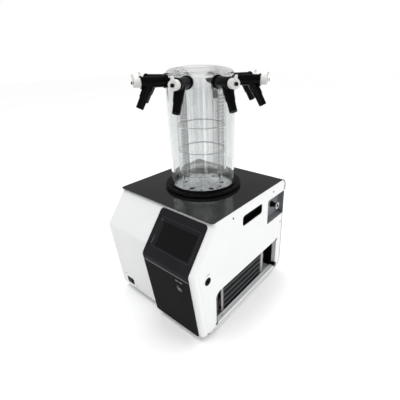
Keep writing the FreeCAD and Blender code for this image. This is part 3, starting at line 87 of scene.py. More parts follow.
CHAMBER_AXIS = (0.0, 35.0)           # in plan, in millimetres

Point = tuple[float, float]
Triple = tuple[float, float, float]
Rgba = tuple[float, float, float, float]
Loop = Sequence[Sequence[float]]
Mesh, Thing, Draft = bpy.types.Mesh, bpy.types.Object, bmesh.types.BMesh
Node, Tree = bpy.types.Node, bpy.types.NodeTree
Socket = bpy.types.NodeSocket


# --- Colour and nodes ------------------------------------------------------------------------
def linear(hex_colour: str) -> Rgba:
    """Turn an sRGB hex colour, such as "#e9eaea", into linear RGBA."""
    digits = hex_colour.lstrip("#")
    channels = [int(digits[i:i + 2], 16) / 255.0 for i in (0, 2, 4)]
    r, g, b = [c / 12.92 if c <= 0.04045 else ((c + 0.055) / 1.055) ** 2.4 for c in channels]
    return (r, g, b, 1.0)


def shaded(colour: Rgba, factor: float) -> Rgba:
    """Scale the three channels of a linear colour, kept within white."""
    r, g, b = [min(1.0, channel * factor) for channel in colour[:3]]
    return (r, g, b, 1.0)


class Graph:
    """A shader or geometry tree, with short ways to add the nodes that repeat."""

    def __init__(self, tree: Tree) -> None:
        """Start from an empty tree."""
        self.tree = tree
        tree.nodes.clear()

    def add_node(self, kind: str, inputs: dict[Any, Any] | None = None,
                 **settings: Any) -> Node:
        """Add one node, set its properties and fill or link its inputs.

        Args:
            kind: Node type name.
            inputs: Socket name or index to a value or to another node's output socket.
            **settings: Properties of the node itself.

        Returns:
            The new node.
        """
        node = self.tree.nodes.new(kind)
        for name, value in settings.items():
            setattr(node, name, value)
        for key, value in (inputs or {}).items():
            if isinstance(value, Socket):
                self.tree.links.new(value, node.inputs[key])
            else:
                node.inputs[key].default_value = value
        return node

    def calc(self, operation: str, first: Any, second: Any = 0.0) -> Socket:
        """Result of one arithmetic step on a number or two."""
        return self.add_node("ShaderNodeMath", {0: first, 1: second},
                             operation=operation).outputs["Value"]

    def calc_vector(self, operation: str, first: Any, second: Any) -> Socket:
        """Result of one step on a vector and a vector, or a number for SCALE."""
        key = "Scale" if operation == "SCALE" else 1
        node = self.add_node("ShaderNodeVectorMath", {0: first, key: second},
                             operation=operation)
        return node.outputs["Value" if operation == "DOT_PRODUCT" else "Vector"]

    def remap(self, value: Socket, before: Point, after: Point) -> Socket:
        """A number moved from one range to another and held inside it."""
        return self.add_node("ShaderNodeMapRange", {
            "Value": value, "From Min": before[0], "From Max": before[1],
            "To Min": after[0], "To Max": after[1]}).outputs["Result"]

    def choose(self, factor: Socket, first: Any, second: Any, kind: str = "FLOAT") -> Socket:
        """The first value where the factor is 0 and the second where it is 1."""
        return self.add_node("ShaderNodeMix", {"Factor": factor, "A": first, "B": second},
                             data_type=kind).outputs["Result"]

    def place(self) -> Socket:
        """Where a point lies on the object."""
        return self.add_node("ShaderNodeTexCoord").outputs["Object"]

    def part(self, vector: Socket, axis: str) -> Socket:
        """One axis of a vector."""
        return self.add_node("ShaderNodeSeparateXYZ", {"Vector": vector}).outputs[axis]


# --- Finishes --------------------------------------------------------------------------------
class Slot(Enum):
    """Material slots of the record, one named by each finish."""

    WHITE_PAINT = "white_paint"
    BLACK_ROOF = "black_roof"
    BLACK_PANEL = "black_panel"
    BRIGHT_TRIM = "bright_trim"
    SCREEN_GLASS = "screen_glass"
    STEEL = "steel"
    BLACK_RUBBER = "black_rubber"
    WHITE_PLASTIC = "white_plastic"
    CLEAR_ACRYLIC = "clear_acrylic"
    DARK_PLASTIC = "dark_plastic"
    GREY_PLASTIC = "grey_plastic"
    ALUMINIUM = "aluminium"
    COPPER = "copper"
    BLACK_PAINT = "black_paint"
    FOAM = "foam"


class Grain(Enum):
    """Which way the fine marks of a surface run, as stretches of its pattern."""

    EVEN = (1.0, 1.0, 1.0)
    ALONG_X = (0.05, 1.0, 1.0)
    ALONG_Y = (1.0, 0.05, 1.0)
    ALONG_Z = (1.0, 1.0, 0.05)


@dataclass(frozen=True)
class Finish:
    """A procedural surface finish with typical values of its real material."""

    name: str
    colour: str
    slot: Slot
    roughness: float = 0.4
    metallic: float = 0.0
    ior: float = 1.5
    specular: float = 0.5
    grain: Grain = Grain.EVEN
    grain_mm: float = 1.0
    relief: float = 0.0
    cloud_mm: float = 110.0
    mottle: float = 0.04
    rough_swing: float = 0.05
    clear: float = 0.0

    def build(self) -> bpy.types.Material:
        """Make the Blender material once and reuse it after that."""
        made = bpy.data.materials.get(self.name)
        if made is not None:
            return made
        material = bpy.data.materials.new(self.name)
        material.use_nodes = True
        graph = Graph(material.node_tree)
        shader = graph.add_node("ShaderNodeBsdfPrincipled", {
            "Metallic": self.metallic, "Transmission Weight": self.clear})
        if not self.metallic:
            shader.inputs["IOR"].default_value = self.ior
            shader.inputs["Specular IOR Level"].default_value = self.specular
        graph.add_node("ShaderNodeOutputMaterial", {"Surface": shader.outputs["BSDF"]})
        for name, pattern in self.patterns(graph).items():
            graph.tree.links.new(pattern, shader.inputs[name])
        return material

    def noise(self, graph: Graph, size_mm: float, grain: Grain = Grain.EVEN) -> Socket:
        """Cloud pattern from 0 to 1 on object coordinates, with marks of a real size."""
        mapped = graph.add_node("ShaderNodeMapping", {
            "Vector": graph.place(), "Scale": grain.value})
        return graph.add_node("ShaderNodeTexNoise", {
            "Vector": mapped.outputs["Vector"], "Scale": 1.0 / (size_mm * MM),
            "Detail": 3.0, "Roughness": 0.55}).outputs["Fac"]

    def tint(self, graph: Graph, cloud: Socket) -> Socket:
        """Colour of the surface: its own colour with broad uneven patches."""
        base = linear(self.colour)
        ramp = graph.add_node("ShaderNodeValToRGB", {"Fac": cloud})
        low, high = ramp.color_ramp.elements
        low.position, high.position = CLOUD_SPAN
        low.color = shaded(base, 1.0 - 2.0 * self.mottle)
        high.color = shaded(base, 1.0 + self.mottle)
        return ramp.outputs["Color"]

    def patterns(self, graph: Graph) -> dict[str, Socket]:
        """Uneven colour, uneven gloss and fine relief, by the shader's input."""
        cloud = self.noise(graph, self.cloud_mm)
        made = {"Base Color": self.tint(graph, cloud), "Roughness": graph.remap(
            cloud, CLOUD_SPAN, (max(0.0, self.roughness - self.rough_swing),
                                min(1.0, self.roughness + self.rough_swing)))}
        if self.relief:
            made["Normal"] = graph.add_node("ShaderNodeBump", {
                "Height": self.noise(graph, self.grain_mm, self.grain),
                "Strength": self.relief,
                "Distance": self.grain_mm * MM * RELIEF_SHARE}).outputs["Normal"]
        return made


@dataclass(frozen=True)
class MarkedFinish(Finish):
    """A finish whose fine marks also show as lighter and darker lines or specks."""

    marks: float = 0.15

    def tint(self, graph: Graph, cloud: Socket) -> Socket:
        """Colour of the surface with its fine marks laid over the patches."""
        fine = graph.remap(self.noise(graph, self.grain_mm, self.grain), CLOUD_SPAN,
                           (1.0 - self.marks, 1.0 + self.marks))
        return graph.calc_vector("SCALE", super().tint(graph, cloud), fine)


@dataclass(frozen=True)
class DustedFinish(Finish):
    """A dark finish that shows a trace of pale dust where it faces up."""

    dust: float = 0.012

    def tint(self, graph: Graph, cloud: Socket) -> Socket:
        """Colour of the surface, paler in soft patches on its upper side."""
        facing = graph.add_node("ShaderNodeNewGeometry").outputs["Normal"]
        upward = graph.remap(graph.part(facing, "Z"), DUST_CATCH, (0.0, self.dust))
        return graph.calc_vector("ADD", super().tint(graph, cloud),
                                 graph.calc("MULTIPLY", upward, cloud))


@dataclass(frozen=True)
class PipeFinish(Finish):
    """Copper pipe that is dull with paint between two end plates and bare beyond them."""

    paint: str = "#4a4d4f"
    front_mm: float = -112.0
    rear_mm: float = 155.0

    def tint(self, graph: Graph, cloud: Socket) -> Socket:
        """Bare copper outside the end plates and the paint's grey between them."""
        middle = (self.front_mm + self.rear_mm) / 2.0 * MM
        reach = (self.rear_mm - self.front_mm) / 2.0 * MM
        offset = graph.calc("SUBTRACT", graph.part(graph.place(), "Y"), middle)
        inside = graph.calc("LESS_THAN", graph.calc("ABSOLUTE", offset), reach)
        return graph.choose(inside, super().tint(graph, cloud), linear(self.paint), "RGBA")


@dataclass(frozen=True)
class BellFinish(Finish):
    """Clear acrylic that lets light straight through its thin drawn shoulder."""

    shoulder_mm: float = 876.0
    ease_mm: float = 8.0
    shoulder_alpha: float = 0.35

    def patterns(self, graph: Graph) -> dict[str, Socket]:
        """The usual patterns, and a fade to straight-through light over the shoulder."""
        fade = graph.remap(graph.part(graph.place(), "Z"), (
            self.shoulder_mm * MM, (self.shoulder_mm + self.ease_mm) * MM),
            (1.0, self.shoulder_alpha))
        return {**super().patterns(graph), "Alpha": fade}


# Polyester powder coat on sheet steel: soft sheen over a very slight orange peel.
POWDER_COAT = Finish("powder_coat_white", "#e9eaea", Slot.WHITE_PAINT, 0.42, grain_mm=2.2,
                     relief=0.05, mottle=0.008)
# Two-pack lacquer on sheet steel: near black with a deep gloss that mirrors the chamber.
ROOF_LACQUER = DustedFinish("lacquer_gloss_black", "#0e0f10", Slot.BLACK_ROOF, 0.08,
                            grain_mm=3.0, relief=0.012, mottle=0.08, rough_swing=0.02)
# Back-printed acrylic sheet over the console: even black with a silky face.
CONSOLE_ACRYLIC = DustedFinish("acrylic_panel_black", "#262628", Slot.BLACK_PANEL, 0.26,
                               ior=1.49, specular=0.02, grain_mm=1.4, relief=0.03,
                               mottle=0.06, dust=0.004)
# Matt film over the lower part of the console: even black with almost no mirror.
CONSOLE_FILM = MarkedFinish("film_matt_black", "#1e1e1e", Slot.BLACK_PANEL, 0.6, ior=1.49,
                            specular=0.02, grain_mm=1.2, relief=0.04, mottle=0.06,
                            marks=0.05)
# Cover glass of a display that is switched off: the blackest and smoothest face.
DISPLAY_GLASS = Finish("display_glass", "#07080a", Slot.SCREEN_GLASS, 0.09, ior=1.52,
                       specular=0.35, mottle=0.05, rough_swing=0.02)
# Moulded rim round the display: the same black, a touch lighter on its satin face.
RIM_ABS = MarkedFinish("abs_rim_black", "#2c2e30", Slot.BLACK_PANEL, 0.4, ior=1.54,
                       specular=0.3, grain_mm=0.8, relief=0.05)
# Anodised aluminium strip: satin grey with the long draw marks of extrusion.
ANODISED = MarkedFinish("aluminium_anodised", "#85878a", Slot.BRIGHT_TRIM, 0.34,
                        metallic=1.0, grain=Grain.ALONG_X, grain_mm=0.5, relief=0.05)
# Brushed stainless steel: short bright lines across the face.
BRUSHED_STEEL = MarkedFinish("stainless_brushed", "#b9babb", Slot.STEEL, 0.26, metallic=1.0,
                             grain=Grain.ALONG_Y, grain_mm=0.6, relief=0.08, mottle=0.05)
# Black-oxide steel of the push button: dark metal with a faint turned sheen.
OXIDE_STEEL = MarkedFinish("steel_black_oxide", "#161718", Slot.STEEL, 0.4, metallic=0.25,
                           specular=0.1, grain_mm=0.7, relief=0.05, marks=0.1)
# Pickled stainless plate: grey, half matt and blotched where it was dipped.
PICKLED_STEEL = MarkedFinish("stainless_pickled", "#e2e4e5", Slot.STEEL, 0.3, metallic=1.0,
                             cloud_mm=26.0, grain_mm=5.0, relief=0.2, mottle=0.2,
                             rough_swing=0.1, marks=0.22)
# Moulded nitrile rubber: very dark with a weak moulding shine.
MOULDED_RUBBER = DustedFinish("rubber_moulded_black", "#080808", Slot.BLACK_RUBBER, 0.3,
                              specular=0.08, grain_mm=0.8, relief=0.05, mottle=0.1,
                              rough_swing=0.06, dust=0.002)
# Soft silicone rubber of the sealing ring: black and almost matt.
SEAL_RUBBER = DustedFinish("silicone_rubber_black", "#0a0a0b", Slot.BLACK_RUBBER, 0.38,
                           ior=1.41, specular=0.15, grain_mm=1.0, relief=0.05, mottle=0.1,
                           dust=0.002)
# Acetal knobs: off-white, smooth and slightly waxy.
ACETAL = Finish("acetal_white", "#d9d9d6", Slot.WHITE_PLASTIC, 0.36, ior=1.48, grain_mm=0.9,
                relief=0.03, mottle=0.03)
# Cast acrylic tube and dome: water clear and polished.
CAST_ACRYLIC = BellFinish("acrylic_cast_clear", "#e7e9e9", Slot.CLEAR_ACRYLIC, 0.0,
                          ior=1.35, mottle=0.004, rough_swing=0.0, clear=1.0)
# Machined acrylic of the rack: clear, greyed by cut faces and a faint tool haze.
RACK_ACRYLIC = Finish("acrylic_machined_clear", "#fafafa", Slot.CLEAR_ACRYLIC, 0.04,
                      ior=1.49, mottle=0.02, rough_swing=0.03, clear=1.0)
# Cut rims of holes and rings in acrylic: they catch no light, and their grey is painted shade
# that reads as fine grey lines.
CUT_ACRYLIC = MarkedFinish("acrylic_cut_edge", "#5a5e5f", Slot.CLEAR_ACRYLIC, 0.22, ior=1.49,
                           grain_mm=1.2, relief=0.1, clear=0.4, marks=0.25)
# Textured black polyamide mouldings: matt with a fine eroded texture.
POLYAMIDE = MarkedFinish("polyamide_black", "#0e0f10", Slot.DARK_PLASTIC, 0.45, ior=1.53,
                         specular=0.07, grain_mm=0.7, relief=0.15, marks=0.12)
# Dark grey painted inner sheet of the port recess: dull, paler where light falls in.
INNER_SHEET = MarkedFinish("steel_inner_grey", "#7b7e81", Slot.GREY_PLASTIC, 0.46,
                           grain_mm=2.0, relief=0.05, mottle=0.08, marks=0.06)
# Drawn copper pipe with a coat of dull paint where it runs through the fins; its bare copper
# is dark with painted shade, as it sits deep behind the window.
COIL_PIPE = PipeFinish("copper_pipe_part_painted", "#2b1f1b", Slot.COPPER, 0.4,
                       metallic=0.4, specular=0.2, cloud_mm=14.0, mottle=0.15, rough_swing=0.1)
# Drawn copper of the drier: warm copper darkened with painted shade, as it sits deep behind
# the window.
COPPER = MarkedFinish("copper_drawn", "#4f3429", Slot.COPPER, 0.42, metallic=0.6,
                      specular=0.2, cloud_mm=20.0, grain=Grain.ALONG_Z, grain_mm=0.8,
                      mottle=0.15, rough_swing=0.1)
# Silver solder at the pipe ends: pale bright beads.
SOLDER = MarkedFinish("silver_solder", "#d3d2cd", Slot.ALUMINIUM, 0.25, metallic=1.0,
                      grain_mm=1.0, relief=0.2)
# Thin aluminium fins with a black dip coat: nearly black, greyer along their edges.
DIPPED_FINS = MarkedFinish("aluminium_dipped_black", "#2a2c2e", Slot.ALUMINIUM, 0.45,
                           metallic=0.3, grain=Grain.ALONG_Z, grain_mm=1.0, relief=0.08,
                           mottle=0.1)
# Zinc-plated end plates: light grey and slightly streaked.
ZINC_PLATE = MarkedFinish("steel_zinc_plated", "#a9abad", Slot.ALUMINIUM, 0.38,
                          metallic=0.7, cloud_mm=30.0, grain=Grain.ALONG_Z, grain_mm=1.5,
                          relief=0.06, mottle=0.1)
# Compressor enamel: semi-gloss black over a cast-like skin.
ENAMEL = Finish("enamel_black", "#121314", Slot.BLACK_PAINT, 0.3, grain_mm=1.5, relief=0.06)
# Matt black: paint on the drain port and on the inner sheet behind the condenser, where it
# also paints the shade deep in the air path; painted shade in the sill's slot.
MATT_BLACK = Finish("paint_matt_black", "#080809", Slot.BLACK_PAINT, 0.7, specular=0.1,
                    grain_mm=1.2, relief=0.1, mottle=0.1)
# Closed-cell foam jacket: matt black with a pore grain.
CELL_FOAM = MarkedFinish("foam_closed_cell", "#1a1a1b", Slot.FOAM, 0.85, grain_mm=2.0,
                         relief=0.4, marks=0.2)
# Zinc of the screws: dark grey, dulled by handling.
SCREW_ZINC = MarkedFinish("screw_zinc", "#5c5f61", Slot.STEEL, 0.35, metallic=0.8,
                          grain_mm=0.6, relief=0.06)
# Pad-printed marks on the console: pale grey ink.
MARK_INK = MarkedFinish("ink_pale_grey", "#c3c5c8", Slot.BLACK_PANEL, 0.5, grain_mm=0.6,
                        relief=0.03, marks=0.08)
# Pad-printed marks on the white panels: mid grey ink; the same grey paints the shade along a
# faint embossed ring by the rocker.
PANEL_INK = MarkedFinish("ink_mid_grey", "#5a5d60", Slot.WHITE_PAINT, 0.55, grain_mm=0.6,
                         relief=0.03, marks=0.08)
# Joint between two folded sheets: a dark grey strip of painted shadow for the gap.
SEAM_SHADOW = MarkedFinish("primer_in_seam", "#1c1d1e", Slot.WHITE_PAINT, 0.7, specular=0.1,
                           grain_mm=0.8, relief=0.05, marks=0.1)
# Strip on the window's sill: a grey slightly darker than the paint, painted shade on the
# sill's outer strip.
SILL_SHEET = MarkedFinish("steel_galvanised_dull", "#d3d4d6", Slot.WHITE_PAINT, 0.5,
                          cloud_mm=30.0, grain=Grain.ALONG_Y, grain_mm=1.5, relief=0.04,
                          mottle=0.03, marks=0.04)
# Lens of a signal lamp that is off: dull grey plastic; the same grey paints a highlight along
# the left side of the display's rim.
LAMP_LENS = MarkedFinish("polycarbonate_lens_grey", "#74777a", Slot.BLACK_PANEL, 0.35,
                         ior=1.58, grain_mm=0.8, relief=0.03, marks=0.06)
# Matt paper floor of the studio.
STUDIO_PAPER = Finish("paper_studio_white", "#fbfbfb", Slot.WHITE_PAINT, 0.9, specular=0.1,
                      cloud_mm=900.0, mottle=0.002)

Skin = tuple[Finish, float, Sequence[str]]


# --- Meshes ----------------------------------------------------------------------------------
def smooth(mesh: Mesh, degrees: float = SHARP_DEGREES) -> Mesh:
    """Shade a mesh smooth, with edges over an angle kept sharp, and hand it back."""
    mesh.polygons.foreach_set("use_smooth", [True] * len(mesh.polygons))
    mesh.set_sharp_from_angle(angle=math.radians(degrees))
    return mesh


def settled(name: str, draft: Draft,
            degrees: float = SHARP_DEGREES) -> Mesh:
    """Turn a draft into a smooth-shaded mesh and let the draft go."""
    mesh = bpy.data.meshes.new(name)
    draft.to_mesh(mesh)
    draft.free()
    return smooth(mesh, degrees)


def evaluated(source: Thing) -> Mesh:
    """Plain mesh of what an object shows with its modifiers."""
    graph = bpy.context.evaluated_depsgraph_get()
    return bpy.data.meshes.new_from_object(source.evaluated_get(graph))


def linked(name: str, data: bpy.types.ID) -> Thing:
    """Put a new object with this data into the scene."""
    made = bpy.data.objects.new(name, data)
    bpy.context.scene.collection.objects.link(made)
    return made


def new_piece(name: str, mesh: Mesh, finish: Finish,
              body: str = MAIN_BODY) -> Thing:
    """Put a mesh into the scene as a piece that moves with a body.

    Args:
        name: Piece name.
        mesh: Its mesh, already in its place in the whole object.
        finish: Surface finish.
        body: Body that the piece rides on.

    Returns:
        The linked object.
    """
    piece = linked(name, mesh)
    mesh.materials.clear()
    mesh.materials.append(finish.build())
    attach(piece, body)
    LOG.info("piece %s: %d faces", name, len(mesh.polygons))
    return piece


def lofted(name: str, loops: Sequence[Loop], closed: bool = False,
           degrees: float = SHARP_DEGREES) -> Mesh:
    """Build the mesh that runs through a stack of loops.

    Args:
        name: Mesh name.
        loops: Loops of as many points each, in metres.  A loop of one point is a tip.
        closed: Whether the last loop joins the first.  If not, both ends are capped.
        degrees: Edges sharper than this stay sharp.

    Returns:
        The mesh, with its doubles merged and its faces outwards.
    """
    draft = bmesh.new()
    rings = [[draft.verts.new(point) for point in loop] for loop in loops]
    steps = max(map(len, rings))
    pairs = list(zip(rings, rings[1:]))
    if closed:
        pairs.append((rings[-1], rings[0]))
    else:
        for end in (rings[0], rings[-1]):
            if len(end) > 1:
                draft.faces.new(end)
    for here, there in pairs:
        for k in range(steps):
            ahead = (k + 1) % steps
            corners = [here[k % len(here)], here[ahead % len(here)],
                       there[ahead % len(there)], there[k % len(there)]]
            draft.faces.new(list(dict.fromkeys(corners)))
    bmesh.ops.remove_doubles(draft, verts=draft.verts, dist=WELD)
    bmesh.ops.recalc_face_normals(draft, faces=draft.faces)
    return settled(name, draft, degrees)


def draw(name: str, loops: Sequence[Loop], finish: Finish, body: str = MAIN_BODY,
         closed: bool = False) -> None:
    """Make one piece from a stack of loops."""
    new_piece(name, lofted(name, loops, closed), finish, body)


def polished(node: str, finish: Finish, bevel_mm: float = 0.0) -> Thing:
    """Stand a merged, smooth-shaded copy in for a frame node.

    Args:
        node: Name of the node.
        finish: Surface finish.
        bevel_mm: Width of the small rounding on sharp edges, or 0.

    Returns:
        The new piece, riding on the node's body.
    """
    source = bpy.data.objects[node]
    draft = bmesh.new()
    draft.from_mesh(source.data)
    bmesh.ops.remove_doubles(draft, verts=draft.verts, dist=2.0 * WELD)
    bmesh.ops.dissolve_limit(draft, angle_limit=math.radians(FLAT_DEGREES),
                             verts=draft.verts, edges=draft.edges, delimit={"NORMAL"})
    name = node + "_skin"
    piece = new_piece(name, settled(name, draft), finish, source["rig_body"])
    if bevel_mm:
        rounding = piece.modifiers.new("edge_rounding", "BEVEL")
        rounding.width = bevel_mm * MM
        rounding.segments = 2
        rounding.limit_method = "ANGLE"
        rounding.angle_limit = math.radians(BEVEL_DEGREES)
        rounding.harden_normals = True
    shading = piece.modifiers.new("face_weighting", "WEIGHTED_NORMAL")
    shading.keep_sharp = True
    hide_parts(node)
    return piece


def polish_all(skins: Sequence[Skin]) -> None:
    """Polish groups of frame nodes, each with its finish and the width of its bevels."""
    for finish, bevel_mm, nodes in skins:
        for node in nodes:
            polished(node, finish, bevel_mm)


def turned(profile: Sequence[Point], centre: Vector, axis: Vector, steps: int) -> list[Loop]:
    """Loops of a profile that is turned about an axis.

    Args:
        profile: Chain of (radius, distance along the axis) in millimetres, with its ends
            on the axis.
        centre: Where the axis starts, in millimetres.
        axis: Direction of the axis.
        steps: Facets round the axis.

    Returns:
        One loop for each point of the profile.
    """
    turn = axis.normalized().to_track_quat("Z", "Y").to_matrix()
    return [[(centre + turn @ Vector((
        radius * math.cos(2.0 * math.pi * k / steps),
        radius * math.sin(2.0 * math.pi * k / steps), along))) * MM
        for k in range(steps if radius else 1)] for radius, along in profile]


def raised(outline: Sequence[Point], low: float, high: float) -> list[Loop]:
    """Loops of an outline in plan that is raised between two heights, in millimetres."""
    return [[(x * MM, y * MM, z * MM) for x, y in outline] for z in (low, high)]


def arc(radius: float, start: float, end: float, steps: int,
        centre: Point = (0.0, 0.0)) -> list[Point]:
    """Points on an arc between two angles in degrees, both ends included."""
    angles = [math.radians(start + (end - start) * k / steps) for k in range(steps + 1)]
    return [(centre[0] + radius * math.cos(a), centre[1] + radius * math.sin(a))
            for a in angles]


def rounded_rectangle(width: float, height: float, radius: float) -> list[Point]:
    """Closed outline of a rectangle about the origin with rounded corners."""
    u, v = width / 2.0 - radius, height / 2.0 - radius
    corners = ((u, v, 0.0), (-u, v, 90.0), (-u, -v, 180.0), (u, -v, 270.0))
    return [point for x, y, turn in corners
            for point in arc(radius, turn, turn + 90.0, 6, (x, y))]


def corners_of(node: str) -> tuple[Vector, Vector]:
    """Lowest and highest corner of a frame node, in millimetres."""
    low, high = [Vector(corner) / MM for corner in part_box(node)]
    return low, high


@dataclass(frozen=True)
class Mark:
    """A thin raised strip along a path on a flat face, with its sizes in millimetres."""

    name: str
    finish: Finish
    path: Sequence[Point]
    width: float
    anchor: Point | None = None
    lift: float = PRINT_LIFT
    closed: bool = False
    body: str = MAIN_BODY


MarkedFace = tuple[str, Triple, Sequence[Mark]]      # node, way the face looks, its marks


@dataclass(frozen=True)
class Face:
    """A flat face of a frame node, with directions across it, up it and out of it."""

    across: Vector
    up: Vector
    outward: Vector
    depth: float
    middle: Point

    @staticmethod
    def of(node: str, towards: Triple) -> "Face":
        """Find the large flat face of a node that looks a given way.

        Args:
            node: Name of the frame node.
            towards: Rough direction that the face looks in.

        Returns:
            The face, with its distance from the origin in metres and its middle as an
            anchor in millimetres.
        """
        least_facing, alike, head_on = 0.5, 50, 12
        mesh = bpy.data.objects[node].data
        aim = Vector(towards).normalized()
        groups: dict[tuple[int, ...], list[bpy.types.MeshPolygon]] = {}
        for polygon in mesh.polygons:
            if polygon.normal.dot(aim) > least_facing:
                key = tuple(round(axis * alike) for axis in polygon.normal)
                groups.setdefault(key, []).append(polygon)
        flat = max(groups.values(), key=lambda group: sum(
            p.area * p.normal.dot(aim) ** head_on for p in group))
        outward = sum((p.normal * p.area for p in flat), Vector()).normalized()
        across = Vector((0.0, 0.0, 1.0)).cross(outward).normalized()
        largest = max(flat, key=lambda polygon: polygon.area)
        corners = [mesh.vertices[index].co for polygon in flat for index in polygon.vertices]
        runs = [across.dot(corner) / MM for corner in corners]
        heights = [corner.z / MM for corner in corners]
        return Face(across, outward.cross(across), outward, outward.dot(largest.center),
                    ((min(runs) + max(runs)) / 2.0, (min(heights) + max(heights)) / 2.0))

    def spot(self, anchor: Point, offset: Point = (0.0, 0.0), lift: float = 0.0) -> Vector:
        """Place of a spot on the face, in metres.

        Args:
            anchor: Distance across the face and height above the bench, in millimetres.
            offset: Further steps across and up the face, in millimetres.
            lift: Distance off the face in millimetres.

        Returns:
            The place in the frame of the whole object.
        """
        rise = (anchor[1] * MM - self.outward.z * self.depth) / self.up.z
        return (self.across * (anchor[0] + offset[0]) * MM + self.up * (rise + offset[1] * MM)
                + self.outward * (self.depth + lift * MM))

    def ribbon(self, mark: Mark) -> None:
        """Draw a mark as a raised strip with a section at each point of its path.

        Args:
            mark: What to draw.  Without an anchor it lies about the middle of the face.
        """
        anchor, path, lift = mark.anchor or self.middle, mark.path, mark.lift
        sections = []
        last = len(path) - 1
        for k, (u, v) in enumerate(path):
            behind = path[k - 1] if k or mark.closed else path[0]
            ahead = path[(k + 1) % len(path)] if k < last or mark.closed else path[last]
            run, rise = ahead[0] - behind[0], ahead[1] - behind[1]
            reach = mark.width / 2.0 / math.hypot(run, rise)
            left = (u - rise * reach, v + run * reach)
            right = (u + rise * reach, v - run * reach)
            sections.append([self.spot(anchor, *corner) for corner in (
                (left, SEAT), (right, SEAT), (right, lift), (left, lift))])
        draw(mark.name, sections, mark.finish, mark.body, mark.closed)

    def lettering(self, name: str, finish: Finish, anchor: Point, words: str,
                  height: float) -> None:
        """Draw short generic words, raised a little off the face.

        Args:
            name: Name of the piece.
            finish: Surface finish.
            anchor: Left end of the words' foot on the face.
            words: What they say.
            height: Height of a capital in millimetres.
        """
        curve = bpy.data.curves.new(name + "_curve", "FONT")
        curve.body = words
        curve.size = height * MM / CAPITAL_SHARE
        curve.extrude = PRINT_LIFT * MM / 2.0
        curve.resolution_u = 2
        draft = linked(name + "_draft", curve)
        mesh = evaluated(draft)
        bpy.data.objects.remove(draft)
        bpy.data.curves.remove(curve)
        turn = Matrix((self.across, self.up, self.outward)).transposed().to_4x4()
        start = self.spot(anchor, lift=PRINT_LIFT / 2.0 + SEAT)
        mesh.transform(Matrix.Translation(start) @ turn)
        new_piece(name, mesh, finish)


def mark_faces(table: Sequence[MarkedFace]) -> None:
    """Draw groups of marks, each on the face of a frame node that looks a given way."""
    for node, towards, marks in table:
        face = Face.of(node, towards)
        for mark in marks:
            face.ribbon(mark)


# --- Geometry nodes --------------------------------------------------------------------------
class ShapeTree(Graph):
    """A geometry-nodes tree with named inputs, whose result becomes one plain mesh."""

    def __init__(self, name: str) -> None:
        """Start the tree with a geometry input and a geometry output."""
        super().__init__(bpy.data.node_groups.new(name, "GeometryNodeTree"))
        self.values: dict[str, Any] = {}
        for way in ("INPUT", "OUTPUT"):
            self.tree.interface.new_socket("Geometry", in_out=way,
                                           socket_type="NodeSocketGeometry")

    def entry(self, name: str, value: Any, kind: str = "Float") -> Socket:
        """Add a named input of a kind of socket, with the value the modifier gives it."""
        socket = self.tree.interface.new_socket(name, in_out="INPUT",
                                                socket_type="NodeSocket" + kind)
        self.values[socket.identifier] = value
        return self.add_node("NodeGroupInput").outputs[name]

    def size(self, name: str, millimetres: float) -> Socket:
        """Add a named length, given in millimetres."""
        return self.entry(name, millimetres * MM)

    def spread(self, name: str, millimetres: Triple) -> Socket:
        """Add a named place or step along the three axes, given in millimetres."""
        return self.entry(name, tuple(axis * MM for axis in millimetres), "Vector")

    def circle(self, steps: Any, radius: Socket) -> Socket:
        """A circle as a curve."""
        return self.add_node("GeometryNodeCurvePrimitiveCircle", {
            "Resolution": steps, "Radius": radius}, mode="RADIUS").outputs["Curve"]

    def sweep(self, path: Socket, profile: Socket, caps: bool = False) -> Socket:
        """A profile carried along a path."""
        return self.add_node("GeometryNodeCurveToMesh", {
            "Curve": path, "Profile Curve": profile, "Fill Caps": caps}).outputs["Mesh"]

    def line(self, count: Socket, start: Socket, step: Socket) -> Socket:
        """Points at even steps along a line."""
        return self.add_node("GeometryNodeMeshLine", {
            "Count": count, "Start Location": start, "Offset": step},
            mode="OFFSET").outputs["Mesh"]

    def aim(self, way: Socket) -> Socket:
        """Turn that points a shape's Z along a direction."""
        return self.add_node("FunctionNodeAlignRotationToVector", {"Vector": way},
                             axis="Z").outputs["Rotation"]

    def repeat(self, points: Socket, shape: Socket, turn: Any = (0.0, 0.0, 0.0)) -> Socket:
        """A shape set on every point."""
        return self.add_node("GeometryNodeInstanceOnPoints", {
            "Points": points, "Instance": shape, "Rotation": turn}).outputs["Instances"]

    def grow(self, name: str, shape: Socket, finish: Finish,
             host: Mesh | None = None,
             degrees: float = SHARP_DEGREES) -> Thing:
        """End the tree, evaluate it and keep its result as one plain mesh.

        Args:
            name: Name of the piece.
            shape: Geometry that the tree ends in.
            finish: Surface finish.
            host: Mesh that the tree starts from, where it needs one.
            degrees: Edges sharper than this stay sharp.

        Returns:
            The new piece on the main body.
        """
        material = self.entry("Finish", finish.build(), "Material")
        solid = self.add_node("GeometryNodeRealizeInstances", {"Geometry": shape})
        dressed = self.add_node("GeometryNodeSetMaterial", {
            "Geometry": solid.outputs["Geometry"], "Material": material})
        self.add_node("NodeGroupOutput", {"Geometry": dressed.outputs["Geometry"]})
        base = linked(name + "_host", host or bpy.data.meshes.new(name + "_host"))
        growth = base.modifiers.new("growth", "NODES")
        growth.node_group = self.tree
        for identifier, value in self.values.items():
            growth[identifier] = value
        mesh = evaluated(base)
        bpy.data.objects.remove(base)
        return new_piece(name, smooth(mesh, degrees), finish)


@dataclass(frozen=True)
class Section:
    """A rectangle to sweep: offsets from the path, heights and the rounding of its corners."""

    near: float
    far: float
    low: float
    high: float
    rounding: float

    def corners(self) -> tuple[Point, ...]:
        """Its four corners as (offset, height)."""
        return ((self.near, self.low), (self.far, self.low), (self.far, self.high),
                (self.near, self.high))


